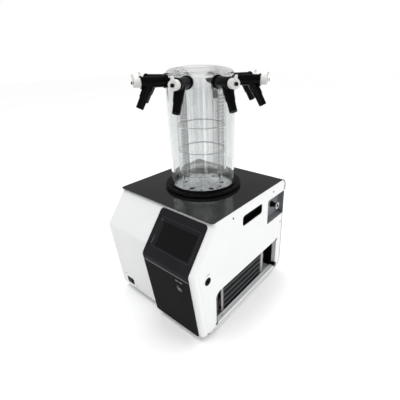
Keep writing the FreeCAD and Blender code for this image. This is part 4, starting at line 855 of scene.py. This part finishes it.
def swept_ring(name: str, finish: Finish, centre: Triple, radius: float,
               sections: Sequence[Section], steps: int = 160,
               turn: Point = (0.0, 360.0)) -> Thing:
    """Sweep rounded sections round an upright circle with geometry nodes.

    Args:
        name: Name of the piece.
        finish: Surface finish.
        centre: Centre of the circle in millimetres.
        radius: Radius of the path.
        sections: Sections that share the path.
        steps: Facets round the circle.
        turn: Where the sweep starts and how far it goes, in degrees.

    Returns:
        The new piece.
    """
    shape = ShapeTree(name + "_tree")
    whole = turn[1] >= 360.0
    count = shape.entry("Steps", steps, "Int")
    reach = shape.size("Path Radius", radius)
    if whole:
        path = shape.circle(count, reach)
    else:
        path = shape.add_node("GeometryNodeCurveArc", {
            "Resolution": count, "Radius": reach,
            "Start Angle": shape.entry("Start Angle", math.radians(turn[0])),
            "Sweep Angle": shape.entry("Sweep Angle", math.radians(turn[1]))},
            mode="RADIUS").outputs["Curve"]
    joined = shape.add_node("GeometryNodeJoinGeometry")
    for number, section in enumerate(sections, start=1):
        outline = shape.add_node("GeometryNodeCurvePrimitiveQuadrilateral", {
            f"Point {corner}": shape.spread(f"Section {number} Corner {corner}",
                                            (offset, -height, 0.0))
            for corner, (offset, height) in enumerate(section.corners(), start=1)},
            mode="POINTS")
        eased = shape.add_node("GeometryNodeFilletCurve", {
            "Curve": outline.outputs["Curve"], "Count": 5,
            "Radius": shape.size(f"Section {number} Rounding", section.rounding),
            "Limit Radius": True}, mode="POLY")
        shape.tree.links.new(shape.sweep(path, eased.outputs["Curve"], not whole),
                             joined.inputs["Geometry"])
    placed = shape.add_node("GeometryNodeTransform", {
        "Geometry": joined.outputs["Geometry"],
        "Translation": shape.spread("Centre", centre)})
    return shape.grow(name, placed.outputs["Geometry"], finish)


# --- Sub-assemblies --------------------------------------------------------------------------
@dataclass
class Screws:
    """Pan-head screws with a cross recess, set on flat faces of the cabinet."""

    radius: float = 3.9
    height: float = 1.2
    recess: float = 0.7
    steps: int = 16
    rings: tuple[Point, ...] = ((1.0, 0.0), (1.0, 0.45), (0.8, 0.85), (0.55, 1.0), (0.2, 1.0))
    cross_rings: int = 2
    cross_arms: int = 4
    edge_degrees: float = 40.0
    side_places: tuple[Point, ...] = ((-84.0, 426.0), (195.0, 424.0), (271.0, 253.0))
    rear_places: tuple[Point, ...] = ((-200.0, 120.0), (200.0, 120.0), (-200.0, 385.0),
                                      (200.0, 385.0))

    def head(self) -> Thing:
        """One screw head about the origin along +Z, whose top rings dip in the cross."""
        plain, spacing = len(self.rings) - self.cross_rings, self.steps // self.cross_arms
        loops: list[Loop] = [[(0.0, 0.0, 0.0)]]
        for number, (share, rise) in enumerate(self.rings):
            loop = []
            for k in range(self.steps):
                turn = 2.0 * math.pi * k / self.steps
                in_cross = number >= plain and k % spacing == 0
                z = self.height * rise - (self.recess if in_cross else 0.0)
                loop.append((self.radius * share * math.cos(turn) * MM,
                             self.radius * share * math.sin(turn) * MM, z * MM))
            loops.append(loop)
        loops.append([(0.0, 0.0, (self.height - self.recess) * MM)])
        return linked("screw_head", lofted("screw_head", loops, degrees=self.edge_degrees))

    def make(self) -> None:
        """Set every screw in one piece, turned to its face by geometry nodes."""
        places: list[Vector] = []
        facings: list[Vector] = []
        for node, towards, spots in (
                ("side_panel_right", RIGHT, self.side_places),
                ("side_panel_left", LEFT, [(-run, rise) for run, rise in self.side_places]),
                ("rear_panel", REAR, self.rear_places)):
            face = Face.of(node, towards)
            places += [face.spot(anchor) for anchor in spots]
            facings += [face.outward] * len(spots)
        host = bpy.data.meshes.new("screw_places")
        host.from_pydata(places, [], [])
        facing = host.attributes.new("facing", "FLOAT_VECTOR", "POINT")
        for entry, direction in zip(facing.data, facings):
            entry.vector = direction
        head = self.head()
        shape = ShapeTree("screw_tree")
        points = shape.add_node("NodeGroupInput").outputs["Geometry"]
        ahead = shape.add_node("GeometryNodeInputNamedAttribute", {"Name": "facing"},
                               data_type="FLOAT_VECTOR").outputs["Attribute"]
        source = shape.add_node("GeometryNodeObjectInfo", {
            "Object": shape.entry("Head", head, "Object")}).outputs["Geometry"]
        shape.grow("cabinet_screws", shape.repeat(points, source, shape.aim(ahead)),
                   SCREW_ZINC, host, self.edge_degrees)
        bpy.data.objects.remove(head)


@dataclass
class Cabinet:
    """Painted skins, gloss roof, feet and the small things on the sides."""

    skins: tuple[Skin, ...] = (
        (POWDER_COAT, 0.5, ("side_panel_right", "side_panel_left", "front_panel_left",
                            "front_console", "rear_panel", "base_tray")),
        (ROOF_LACQUER, 0.7, ("top_plate",)),
        (MOULDED_RUBBER, 0.0, ("foot_1", "foot_2", "foot_3", "foot_4")),
        (POLYAMIDE, 0.3, ("handle_cup_right", "handle_cup_left", "power_inlet")),
        (MATT_BLACK, 0.3, ("drain_port",)),
        (INNER_SHEET, 0.3, ("recess_tray",)),
        (POLYAMIDE, 0.0, ("vacuum_neck",)),
        (BRUSHED_STEEL, 0.5, ("vacuum_flange",)))
    grommet_place: Point = (246.0, 38.0)
    grommet_profile: tuple[Point, ...] = (
        (0.0, -17.0), (8.6, -17.0), (10.0, -15.6), (10.0, -0.2), (11.8, -0.2), (11.8, 0.5),
        (11.1, 1.0), (5.0, 1.0), (4.2, 0.4), (4.2, -2.0), (0.0, -2.4))
    plug_profile: tuple[Point, ...] = (
        (0.0, -5.0), (4.4, -5.0), (4.6, -0.2), (6.0, -0.2), (6.0, 0.3), (5.4, 0.7),
        (0.0, 0.8))
    plug_places: tuple[Point, ...] = ((-180.0, 35.5), (245.0, 171.0))
    drain_mark: Mark = Mark("drain_mark", PANEL_INK, ((-8.0, -1.6), (8.0, 1.6)), 2.2,
                            (-222.0, 279.0))
    sill_height: float = 35.0
    sill_depth: float = 11.0
    sill_run: Point = (-176.0, 236.0)
    sill_edge: float = 0.6
    sill_corner: float = 1.0
    sill_heights: Point = (-0.1, 0.25)
    sill_slot_place: Point = (-138.0, 227.0)
    sill_slot_size: Point = (12.0, 2.4)
    sill_slot_edge: float = 4.0
    sill_slot_corner: float = 2.4 / 2.2
    sill_slot_heights: Point = (0.0, 0.4)
    seam_inset: float = 6.0
    seam_width: float = 2.5
    seam_lift: float = 0.1
    seam_bend: float = 16.0
    seam_corner: float = 33.5
    seam_top: float = 425.0
    seam_front: float = -218.0

    def plugs(self) -> None:
        """Rubber plugs in the holes at three corners of the window."""
        face = Face.of("side_panel_right", RIGHT)
        for name, profile, place, steps in (
                ("window_grommet", self.grommet_profile, self.grommet_place, 32),
                ("window_plug_1", self.plug_profile, self.plug_places[0], 24),
                ("window_plug_2", self.plug_profile, self.plug_places[1], 24)):
            centre = face.spot(place) / MM
            draw(name, turned(profile, centre, face.outward, steps), MOULDED_RUBBER)

    def seams(self) -> None:
        """Fine folded seam just inside the lower and rear edges of each side, drawn as a dark
        strip of painted shadow.
        """
        bend, corner = self.seam_bend, self.seam_corner
        for side, towards, node in ((1.0, RIGHT, "side_panel_right"),
                                    (-1.0, LEFT, "side_panel_left")):
            low, high = corners_of(node)
            foot, rear = low.z + self.seam_inset, high.y - self.seam_inset
            path = arc(bend, 200.0, 270.0, 6, (self.seam_front, foot + bend))
            path += arc(corner, -90.0, 0.0, 10, (rear - corner, foot + corner))
            path.append((rear, self.seam_top))
            Face.of(node, towards).ribbon(Mark(
                node + "_seam", SEAM_SHADOW, [(side * run, height) for run, height in path],
                self.seam_width, (0.0, 0.0), self.seam_lift))

    def on_sill(self, name: str, finish: Finish, middle: Point, size: Point,
                rounding: float, heights: Point) -> None:
        """Draw a flat rounded piece on the sill of the window.

        Args:
            name: Name of the piece.
            finish: Surface finish.
            middle: Its middle in plan.
            size: Length along the sill and width across it.
            rounding: Radius of its corners.
            heights: Its lower and upper side, from the sill.
        """
        outline = [(middle[0] + v, middle[1] + u)
                   for u, v in rounded_rectangle(*size, rounding)]
        low, high = [self.sill_height + height for height in heights]
        draw(name, raised(outline, low, high), finish)

    def make(self) -> None:
        """Dress every skin of the cabinet, its window and its printed dash."""
        polish_all(self.skins)
        self.plugs()
        self.seams()
        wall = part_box("side_panel_right")[1][0] / MM
        front, rear = self.sill_run
        # the sill's outer strip takes a darker grey of painted shade
        self.on_sill("sill_strip", SILL_SHEET,
                     (wall - self.sill_edge - self.sill_depth / 2.0, (front + rear) / 2.0),
                     (rear - front, self.sill_depth), self.sill_corner, self.sill_heights)
        mark_faces((("side_panel_right", RIGHT, (self.drain_mark,)),))
        along, across = self.sill_slot_place
        # the slot is a flat black piece: painted shade in place of an opening in the sill
        self.on_sill("sill_slot", MATT_BLACK,
                     (min(across, wall - self.sill_slot_edge), along),
                     self.sill_slot_size, self.sill_slot_corner, self.sill_slot_heights)


@dataclass
class Console:
    """Black control band with its display, trim, push button and the rocker."""

    skins: tuple[Skin, ...] = (
        (CONSOLE_ACRYLIC, 0.2, ("band_upper",)),
        (CONSOLE_FILM, 0.4, ("band_lower",)),
        (ANODISED, 0.0, ("band_trim",)),
        (DISPLAY_GLASS, 0.0, ("touch_screen",)),
        (POLYAMIDE, 0.3, ("button_bezel",)),
        (OXIDE_STEEL, 0.3, ("power_button",)),
        (POLYAMIDE, 0.3, ("switch_frame",)),
        (POLYAMIDE, 0.4, ("rocker",)))
    marks: tuple[MarkedFace, ...] = (
        ("band_upper", CONSOLE_SLOPE, (
            Mark("display_rim", RIM_ABS, rounded_rectangle(182.0, 106.0, 7.0), 1.8,
                 (116.0, 378.0), closed=True),
            Mark("display_lamp", LAMP_LENS, arc(1.3, 0.0, 345.0, 23), 1.3, (31.0, 412.0),
                 0.3, closed=True),
            # a short light strip: painted highlight on the left side of the display's rim
            Mark("light_bar", LAMP_LENS, ((0.0, 0.0), (0.0, 30.0)), 1.2, (24.5, 343.0),
                 0.5))),
        ("power_button", FRONT, (
            Mark("power_ring", MARK_INK, arc(3.6, 125.0, 415.0, 30), 0.9, body="button"),
            Mark("power_bar", MARK_INK, ((0.0, 1.0), (0.0, 4.8)), 0.9, body="button"))),
        ("button_bezel", FRONT, (
            Mark("bezel_ring", LAMP_LENS, arc(11.2, 0.0, 352.5, 47), 1.2, closed=True),)))
    word_place: Point = (157.0, 263.5)
    word_height: float = 5.6
    rocker_arc_radius: float = 38.0
    rocker_arc_width: float = 1.1
    rocker_arc_lift: float = 0.15

    def rocker_marks(self) -> tuple[Mark, ...]:
        """Two thin grey arcs of painted shade along a faint embossed ring by the rocker, and
        its raised surround.
        """
        low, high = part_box("rocker")
        centre = ((low[0] + high[0]) / 2.0 / MM, (low[2] + high[2]) / 2.0 / MM)
        arcs = [Mark(name, PANEL_INK, arc(self.rocker_arc_radius, start, end, 20),
                     self.rocker_arc_width, centre, self.rocker_arc_lift)
                for name, start, end in (("rocker_arc_upper", 108.0, 152.0),
                                         ("rocker_arc_lower", -44.0, -8.0))]
        return (*arcs, Mark("rocker_surround", POLYAMIDE, rounded_rectangle(37.0, 26.0, 4.0),
                            5.0, centre, 0.8, closed=True))

    def make(self) -> None:
        """Dress the console: its skins, the marks on it, ON and OFF, and the rocker."""
        polish_all(self.skins)
        mark_faces(self.marks)
        Face.of("band_lower", FRONT).lettering("switch_words", MARK_INK, self.word_place,
                                               "ON  OFF", self.word_height)
        mark_faces((("front_panel_left", FRONT, self.rocker_marks()),))


@dataclass
class ColdSide:
    """Condenser set behind the window and the cold trap under the roof."""

    skins: tuple[Skin, ...] = (
        (COIL_PIPE, 0.0, ("condenser_coil",)),
        # the black sheet behind the fins also paints the shade deep in the air path
        (MATT_BLACK, 0.0, ("air_shroud",)),
        (COPPER, 0.0, ("filter_drier",)),
        (ENAMEL, 0.5, ("compressor",)),
        (BRUSHED_STEEL, 0.3, ("cold_trap",)),
        (CELL_FOAM, 0.0, ("trap_jacket",)))
    fin_pitch: float = 3.0
    fin_gauge: float = 0.7
    fin_front: float = 209.5
    fin_inset: float = 2.0
    fin_margin: float = 8.0
    plate_gauge: float = 1.5
    bend_radius: float = 3.0
    flange: float = 16.0
    collar_radius: float = 5.4
    collar_bead: float = 1.1
    collar_reach: float = 5.0
    tube_radius: float = 4.75
    tube_pitch: float = 26.0

    def fins(self) -> None:
        """Fin pack along the condenser, one thin plate repeated by geometry nodes."""
        low, high = corners_of("condenser_core")
        front, rear = low.y + self.flange, high.y - self.flange
        count = int((rear - front) / self.fin_pitch) - 1
        shape = ShapeTree("fin_tree")
        line = shape.line(
            shape.entry("Fins", count, "Int"),
            shape.spread("First Fin", ((low.x + self.fin_inset + self.fin_front) / 2.0,
                                       front + self.fin_pitch, (low.z + high.z) / 2.0)),
            shape.spread("Pitch", (0.0, self.fin_pitch, 0.0)))
        fin = shape.add_node("GeometryNodeMeshCube", {
            "Size": shape.spread("Fin Size", (
                self.fin_front - low.x - self.fin_inset, self.fin_gauge,
                high.z - low.z - self.fin_margin)),
            "Vertices X": 2, "Vertices Y": 2, "Vertices Z": 2})
        piece = shape.grow("condenser_fins", shape.repeat(line, fin.outputs["Mesh"]),
                           DIPPED_FINS)
        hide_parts("condenser_core")

    def end_plate(self, name: str, away: float) -> None:
        """Bent zinc plate at one end of the fin pack, with its flange turned away from it.

        Args:
            name: Name of the piece.
            away: 1 for the plate at the rear end and -1 for the one at the front.
        """
        low, high = corners_of("condenser_core")
        start = high.y - self.flange if away > 0.0 else low.y + self.flange
        end = start + away * self.flange
        outer = self.bend_radius + self.plate_gauge
        corner = (high.x - outer, start + away * outer)
        bend, inside = [
            [(corner[0] + u, corner[1] + away * v) for u, v in curve]
            for curve in (arc(outer, -90.0, 0.0, 6), arc(self.bend_radius, 0.0, -90.0, 6))]
        outline = [(low.x, start), *bend, (high.x, end), (high.x - self.plate_gauge, end),
                   *inside, (low.x, start + away * self.plate_gauge)]
        draw(name, raised(outline, low.z, high.z), ZINC_PLATE)

    def collars(self) -> None:
        """Soldered beads on the pipe ends, repeated up the stack by geometry nodes."""
        low, high = corners_of("condenser_coil")
        core_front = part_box("condenser_core")[0][1] / MM + self.flange
        count = round((high.z - low.z - 2.0 * self.tube_radius) / self.tube_pitch) + 1
        shape = ShapeTree("collar_tree")
        line = shape.line(
            shape.entry("Pipes", count, "Int"),
            shape.spread("First Pipe", ((low.x + high.x) / 2.0, core_front - self.collar_reach,
                                        low.z + self.tube_radius)),
            shape.spread("Pipe Pitch", (0.0, 0.0, self.tube_pitch)))
        collar = shape.sweep(
            shape.circle(20, shape.size("Collar Radius", self.collar_radius)),
            shape.circle(8, shape.size("Bead Radius", self.collar_bead)))
        shape.grow("pipe_collars", shape.repeat(line, collar, QUARTER_TURN), SOLDER)

    def make(self) -> None:
        """Dress the refrigeration parts."""
        self.fins()
        self.end_plate("end_plate_front", -1.0)
        self.end_plate("end_plate_rear", 1.0)
        self.collars()
        polish_all(self.skins)


@dataclass
class Chamber:
    """Clear bell, its sealing ring, the baffle and the perforated rack."""

    tiers: tuple[str, ...] = ("rack_tier_1", "rack_tier_2", "rack_tier_3")
    rings: tuple[str, ...] = ("rack_ring_1", "rack_ring_2")
    wall_outside: float = 125.0
    seal_sections: tuple[Section, ...] = (       # the ring, its lip and the seat of the wall
        Section(0.3, 26.0, 0.0, 15.0, 6.4), Section(0.3, 6.3, 1.0, 22.0, 2.4),
        Section(-9.0, 3.3, 0.0, 4.0, 0.8))
    rack_radius: float = 93.0
    hole_radius: float = 4.2
    rim_bead: float = 0.9
    hole_pitch: float = 12.5
    row_pitch: float = 12.5
    bands: int = 4
    band_columns: int = 3
    hole_margin: float = 4.0
    hole_proud: float = 0.1
    # arc that holds the rings' painted shade: the far side, seen from the front
    rim_turn: Point = (30.0, 200.0)
    rim_steps: int = 90
    rim_depth: float = 1.2
    rim_proud: float = 0.3
    rim_reach: float = 0.5
    rim_rounding: float = 0.4

    def seal(self) -> None:
        """Sealing ring: its three rounded sections swept round the chamber's foot."""
        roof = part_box("gasket_ring")[0][2] / MM
        piece = swept_ring("sealing_ring", SEAL_RUBBER, (*CHAMBER_AXIS, roof),
                           self.wall_outside, self.seal_sections)
        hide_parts("gasket_ring")

    def edge_lines(self) -> None:
        """Painted shade on the two rings that part the rack's tiers: dark rims drawn only over
        the far arc, where their edges read dark.
        """
        proud = self.rim_proud
        for node in self.rings:
            low, high = [corner[2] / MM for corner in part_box(node)]
            swept_ring(node + "_rim", CUT_ACRYLIC, (*CHAMBER_AXIS, low - proud),
                       self.rack_radius, (Section(-self.rim_depth, self.rim_reach, 0.0,
                                                  high - low + 2 * proud,
                                                  self.rim_rounding),),
                       self.rim_steps, self.rim_turn)

    def perforations(self, node: str) -> None:
        """Rims of the holes in one tier, in a grey of painted shade: upright bands of rows,
        made by geometry nodes.

        Args:
            node: Tier of the rack.
        """
        low, high = [corner[2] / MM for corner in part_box(node)]
        room = high - low - 2.0 * self.hole_radius - self.hole_margin
        rows = max(1, int(room / self.row_pitch) + 1)
        first = (low + high) / 2.0 - (rows - 1) * self.row_pitch / 2.0
        around = self.bands * self.band_columns
        shape = ShapeTree(node + "_hole_tree")
        columns = shape.entry("Columns", around, "Int")
        per_band = shape.entry("Columns In A Band", self.band_columns, "Int")
        points = shape.add_node("GeometryNodePoints", {
            "Count": shape.entry("Holes", around * rows, "Int")}).outputs["Points"]
        index = shape.add_node("GeometryNodeInputIndex").outputs["Index"]
        column = shape.calc("MODULO", index, columns)
        row = shape.calc("FLOOR", shape.calc("DIVIDE", index, columns))
        band = shape.calc("FLOOR", shape.calc("DIVIDE", column, per_band))
        from_middle = shape.calc("SUBTRACT", shape.calc("MODULO", column, per_band),
                                 (self.band_columns - 1) / 2.0)
        offset = shape.calc("MULTIPLY", from_middle, shape.entry(
            "Column Angle", self.hole_pitch / self.rack_radius))
        angle = shape.calc("ADD", shape.calc("MULTIPLY", band, 2.0 * math.pi / self.bands),
                           offset)
        radial = shape.add_node("ShaderNodeCombineXYZ", {
            "X": shape.calc("COSINE", angle),
            "Y": shape.calc("SINE", angle)}).outputs["Vector"]
        reach = shape.calc_vector("SCALE", radial, shape.size(
            "Wall Radius", self.rack_radius + self.hole_proud))
        upward = shape.add_node("ShaderNodeCombineXYZ", {"Z": shape.calc(
            "MULTIPLY", row, shape.size("Row Pitch", self.row_pitch))}).outputs["Vector"]
        place = shape.calc_vector("ADD", shape.calc_vector("ADD", reach, upward),
                                  shape.spread("Foot", (*CHAMBER_AXIS, first)))
        spread = shape.add_node("GeometryNodeSetPosition", {
            "Geometry": points, "Position": place}).outputs["Geometry"]
        rim = shape.sweep(shape.circle(12, shape.size("Hole Radius", self.hole_radius)),
                          shape.circle(4, shape.size("Rim Bead", self.rim_bead)))
        shape.grow(node + "_hole_rims", shape.repeat(spread, rim, shape.aim(radial)),
                   CUT_ACRYLIC)

    def make(self) -> None:
        """Dress the chamber."""
        self.seal()
        polish_all(((PICKLED_STEEL, 0.2, ("baffle_plate",)), (CAST_ACRYLIC, 0.0, ("chamber",)),
                    (RACK_ACRYLIC, 0.0, ("rack_base", *self.rings, *self.tiers, "rack_top"))))
        self.edge_lines()
        for node in self.tiers:
            self.perforations(node)


@dataclass
class Manifold:
    """Eight rubber flask valves with their turning knobs."""

    count: int = 8
    disc_radius: float = 16.2
    lever_share: float = 0.62
    plug_profile: tuple[Point, ...] = ((0.0, -1.0), (5.8, -1.0), (5.8, 0.1), (5.4, 0.3),
                                       (0.0, 0.3))
    plug_steps: int = 28

    def shorten(self, knob: Thing) -> None:
        """Draw the lever of a knob in towards its disc, as on the moulded one."""
        foot = min(vertex.co.z for vertex in knob.data.vertices)
        rim = foot + 2.0 * self.disc_radius * MM
        for vertex in knob.data.vertices:
            if vertex.co.z > rim:
                vertex.co.z = rim + (vertex.co.z - rim) * self.lever_share

    def plug(self, number: int) -> None:
        """Black end of the spindle in the middle of the knob of one valve."""
        middle = Vector((*CHAMBER_AXIS, 0.0)) * MM
        spots = [vertex.co - middle
                 for vertex in bpy.data.objects[f"valve_knob_{number}"].data.vertices]
        mean = sum(spots, Vector()) / len(spots)
        outward = Vector((mean.x, mean.y, 0.0)).normalized()
        face = max(spot.dot(outward) for spot in spots)
        height = min(spot.z for spot in spots) + self.disc_radius * MM
        centre = (middle + outward * face + Vector((0.0, 0.0, height))) / MM
        draw(f"knob_plug_{number}",
             turned(self.plug_profile, centre, outward, self.plug_steps), POLYAMIDE,
             f"knob_{number}")

    def make(self) -> None:
        """Dress the valves."""
        for number in range(1, self.count + 1):
            polished(f"valve_body_{number}", MOULDED_RUBBER, 0.9)
            self.shorten(polished(f"valve_knob_{number}", ACETAL, 0.6))
            self.plug(number)


@dataclass(frozen=True)
class Lamp:
    """A soft rectangular lamp of the studio, with sizes in metres and its power in watts."""

    name: str
    place: Triple
    target: Triple
    size: Point
    power: float
    lights_matt: bool
    mirrored: bool


@dataclass
class Studio:
    """Plain floor, soft light and the camera."""

    eye: Triple = (764.8, -821.4, 938.3)
    azimuth: float = 39.30
    pitch: float = 21.72
    roll: float = -0.93
    lens: float = 27.37
    sensor: float = 36.0
    view_limit: float = 100.0
    shift: Point = (-0.0385, -0.0569)
    sky: float = 0.68
    sky_slope: Triple = (0.30, 0.76, 0.54)
    mirrored_sky: float = 0.27
    first_depth: float = 0.5             # parts rays outside the glass from those through it
    floor_reach: float = 14000.0
    floor_depth: float = 5.0
    lamps: tuple[Lamp, ...] = (
        Lamp("overhead_softbox", (-0.5, -0.9, 3.0), (0.0, 0.0, 0.4), (1.8, 1.8), 40.0,
             True, False),
        Lamp("strip_front", (0.05, -1.45, 0.75), (0.0, 0.035, 0.7), (0.24, 1.5), 2.6,
             False, True),
        Lamp("strip_corner", (1.17, -0.85, 0.75), (0.0, 0.035, 0.7), (0.20, 1.5), 2.4,
             False, True))

    def camera(self) -> None:
        """Place the camera."""
        data = bpy.data.cameras.new("studio_camera")
        data.lens = self.lens
        data.sensor_width = self.sensor
        data.shift_x, data.shift_y = self.shift
        data.clip_end = self.view_limit
        camera = linked("studio_camera", data)
        turn = (Matrix.Rotation(math.radians(self.azimuth), 4, "Z")
                @ Matrix.Rotation(math.radians(90.0 - self.pitch), 4, "X")
                @ Matrix.Rotation(math.radians(self.roll), 4, "Z"))
        camera.matrix_world = Matrix.Translation(Vector(self.eye) * MM) @ turn
        bpy.context.scene.camera = camera

    def light(self, lamp: Lamp) -> None:
        """Add one lamp."""
        data = bpy.data.lights.new(lamp.name, "AREA")
        data.shape = "RECTANGLE"
        data.size, data.size_y = lamp.size
        data.energy = lamp.power
        fixture = linked(lamp.name, data)
        facing = (Vector(lamp.target) - Vector(lamp.place)).to_track_quat("-Z", "Y")
        fixture.matrix_world = Matrix.Translation(lamp.place) @ facing.to_matrix().to_4x4()
        fixture.visible_camera = False
        fixture.visible_diffuse = lamp.lights_matt
        fixture.visible_glossy = lamp.mirrored
        fixture.visible_transmission = lamp.mirrored

    def world(self) -> None:
        """White backdrop, a soft sky brighter above and behind, and a dim outer mirror."""
        world = bpy.data.worlds.new("studio_world")
        bpy.context.scene.world = world
        world.use_nodes = True
        graph = Graph(world.node_tree)
        way = graph.add_node("ShaderNodeTexCoord").outputs["Generated"]
        slope = graph.calc_vector("DOT_PRODUCT", way, self.sky_slope)
        sky = graph.calc("MAXIMUM", graph.calc("ADD", slope, self.sky), 0.0)
        ray = graph.add_node("ShaderNodeLightPath").outputs
        outside = graph.calc("LESS_THAN", ray["Transmission Depth"], self.first_depth)
        open_mirror = graph.calc("MULTIPLY", ray["Is Glossy Ray"], outside)
        mirrored = graph.choose(open_mirror, sky, self.mirrored_sky)
        seen = graph.calc("MAXIMUM", ray["Is Camera Ray"], ray["Is Transmission Ray"])
        light = graph.add_node("ShaderNodeBackground", {
            "Color": (1.0, 1.0, 1.0, 1.0), "Strength": graph.choose(seen, mirrored, 1.0)})
        graph.add_node("ShaderNodeOutputWorld", {"Surface": light.outputs["Background"]})

    def floor(self) -> None:
        """Wide paper floor under the object."""
        far = self.floor_reach
        mesh = lofted("studio_floor", raised(
            [(-far, -far), (far, -far), (far, far), (-far, far)], -self.floor_depth, 0.0))
        floor = linked("studio_floor", mesh)
        mesh.materials.append(STUDIO_PAPER.build())

    def make(self) -> None:
        """Build the studio."""
        self.camera()
        self.floor()
        self.world()
        for lamp in self.lamps:
            self.light(lamp)
        bpy.context.scene.view_settings.view_transform = "Standard"


def main() -> None:
    """Build every sub-assembly in order."""
    logging.basicConfig(level=logging.INFO, format="%(name)s %(message)s")
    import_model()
    assemblies: tuple[Any, ...] = (Studio(), Screws(), Cabinet(), Console(), ColdSide(),
                                   Chamber(), Manifold())
    for assembly in assemblies:
        assembly.make()
        LOG.info("built %s", type(assembly).__name__)


if __name__ == "__main__":
    main()
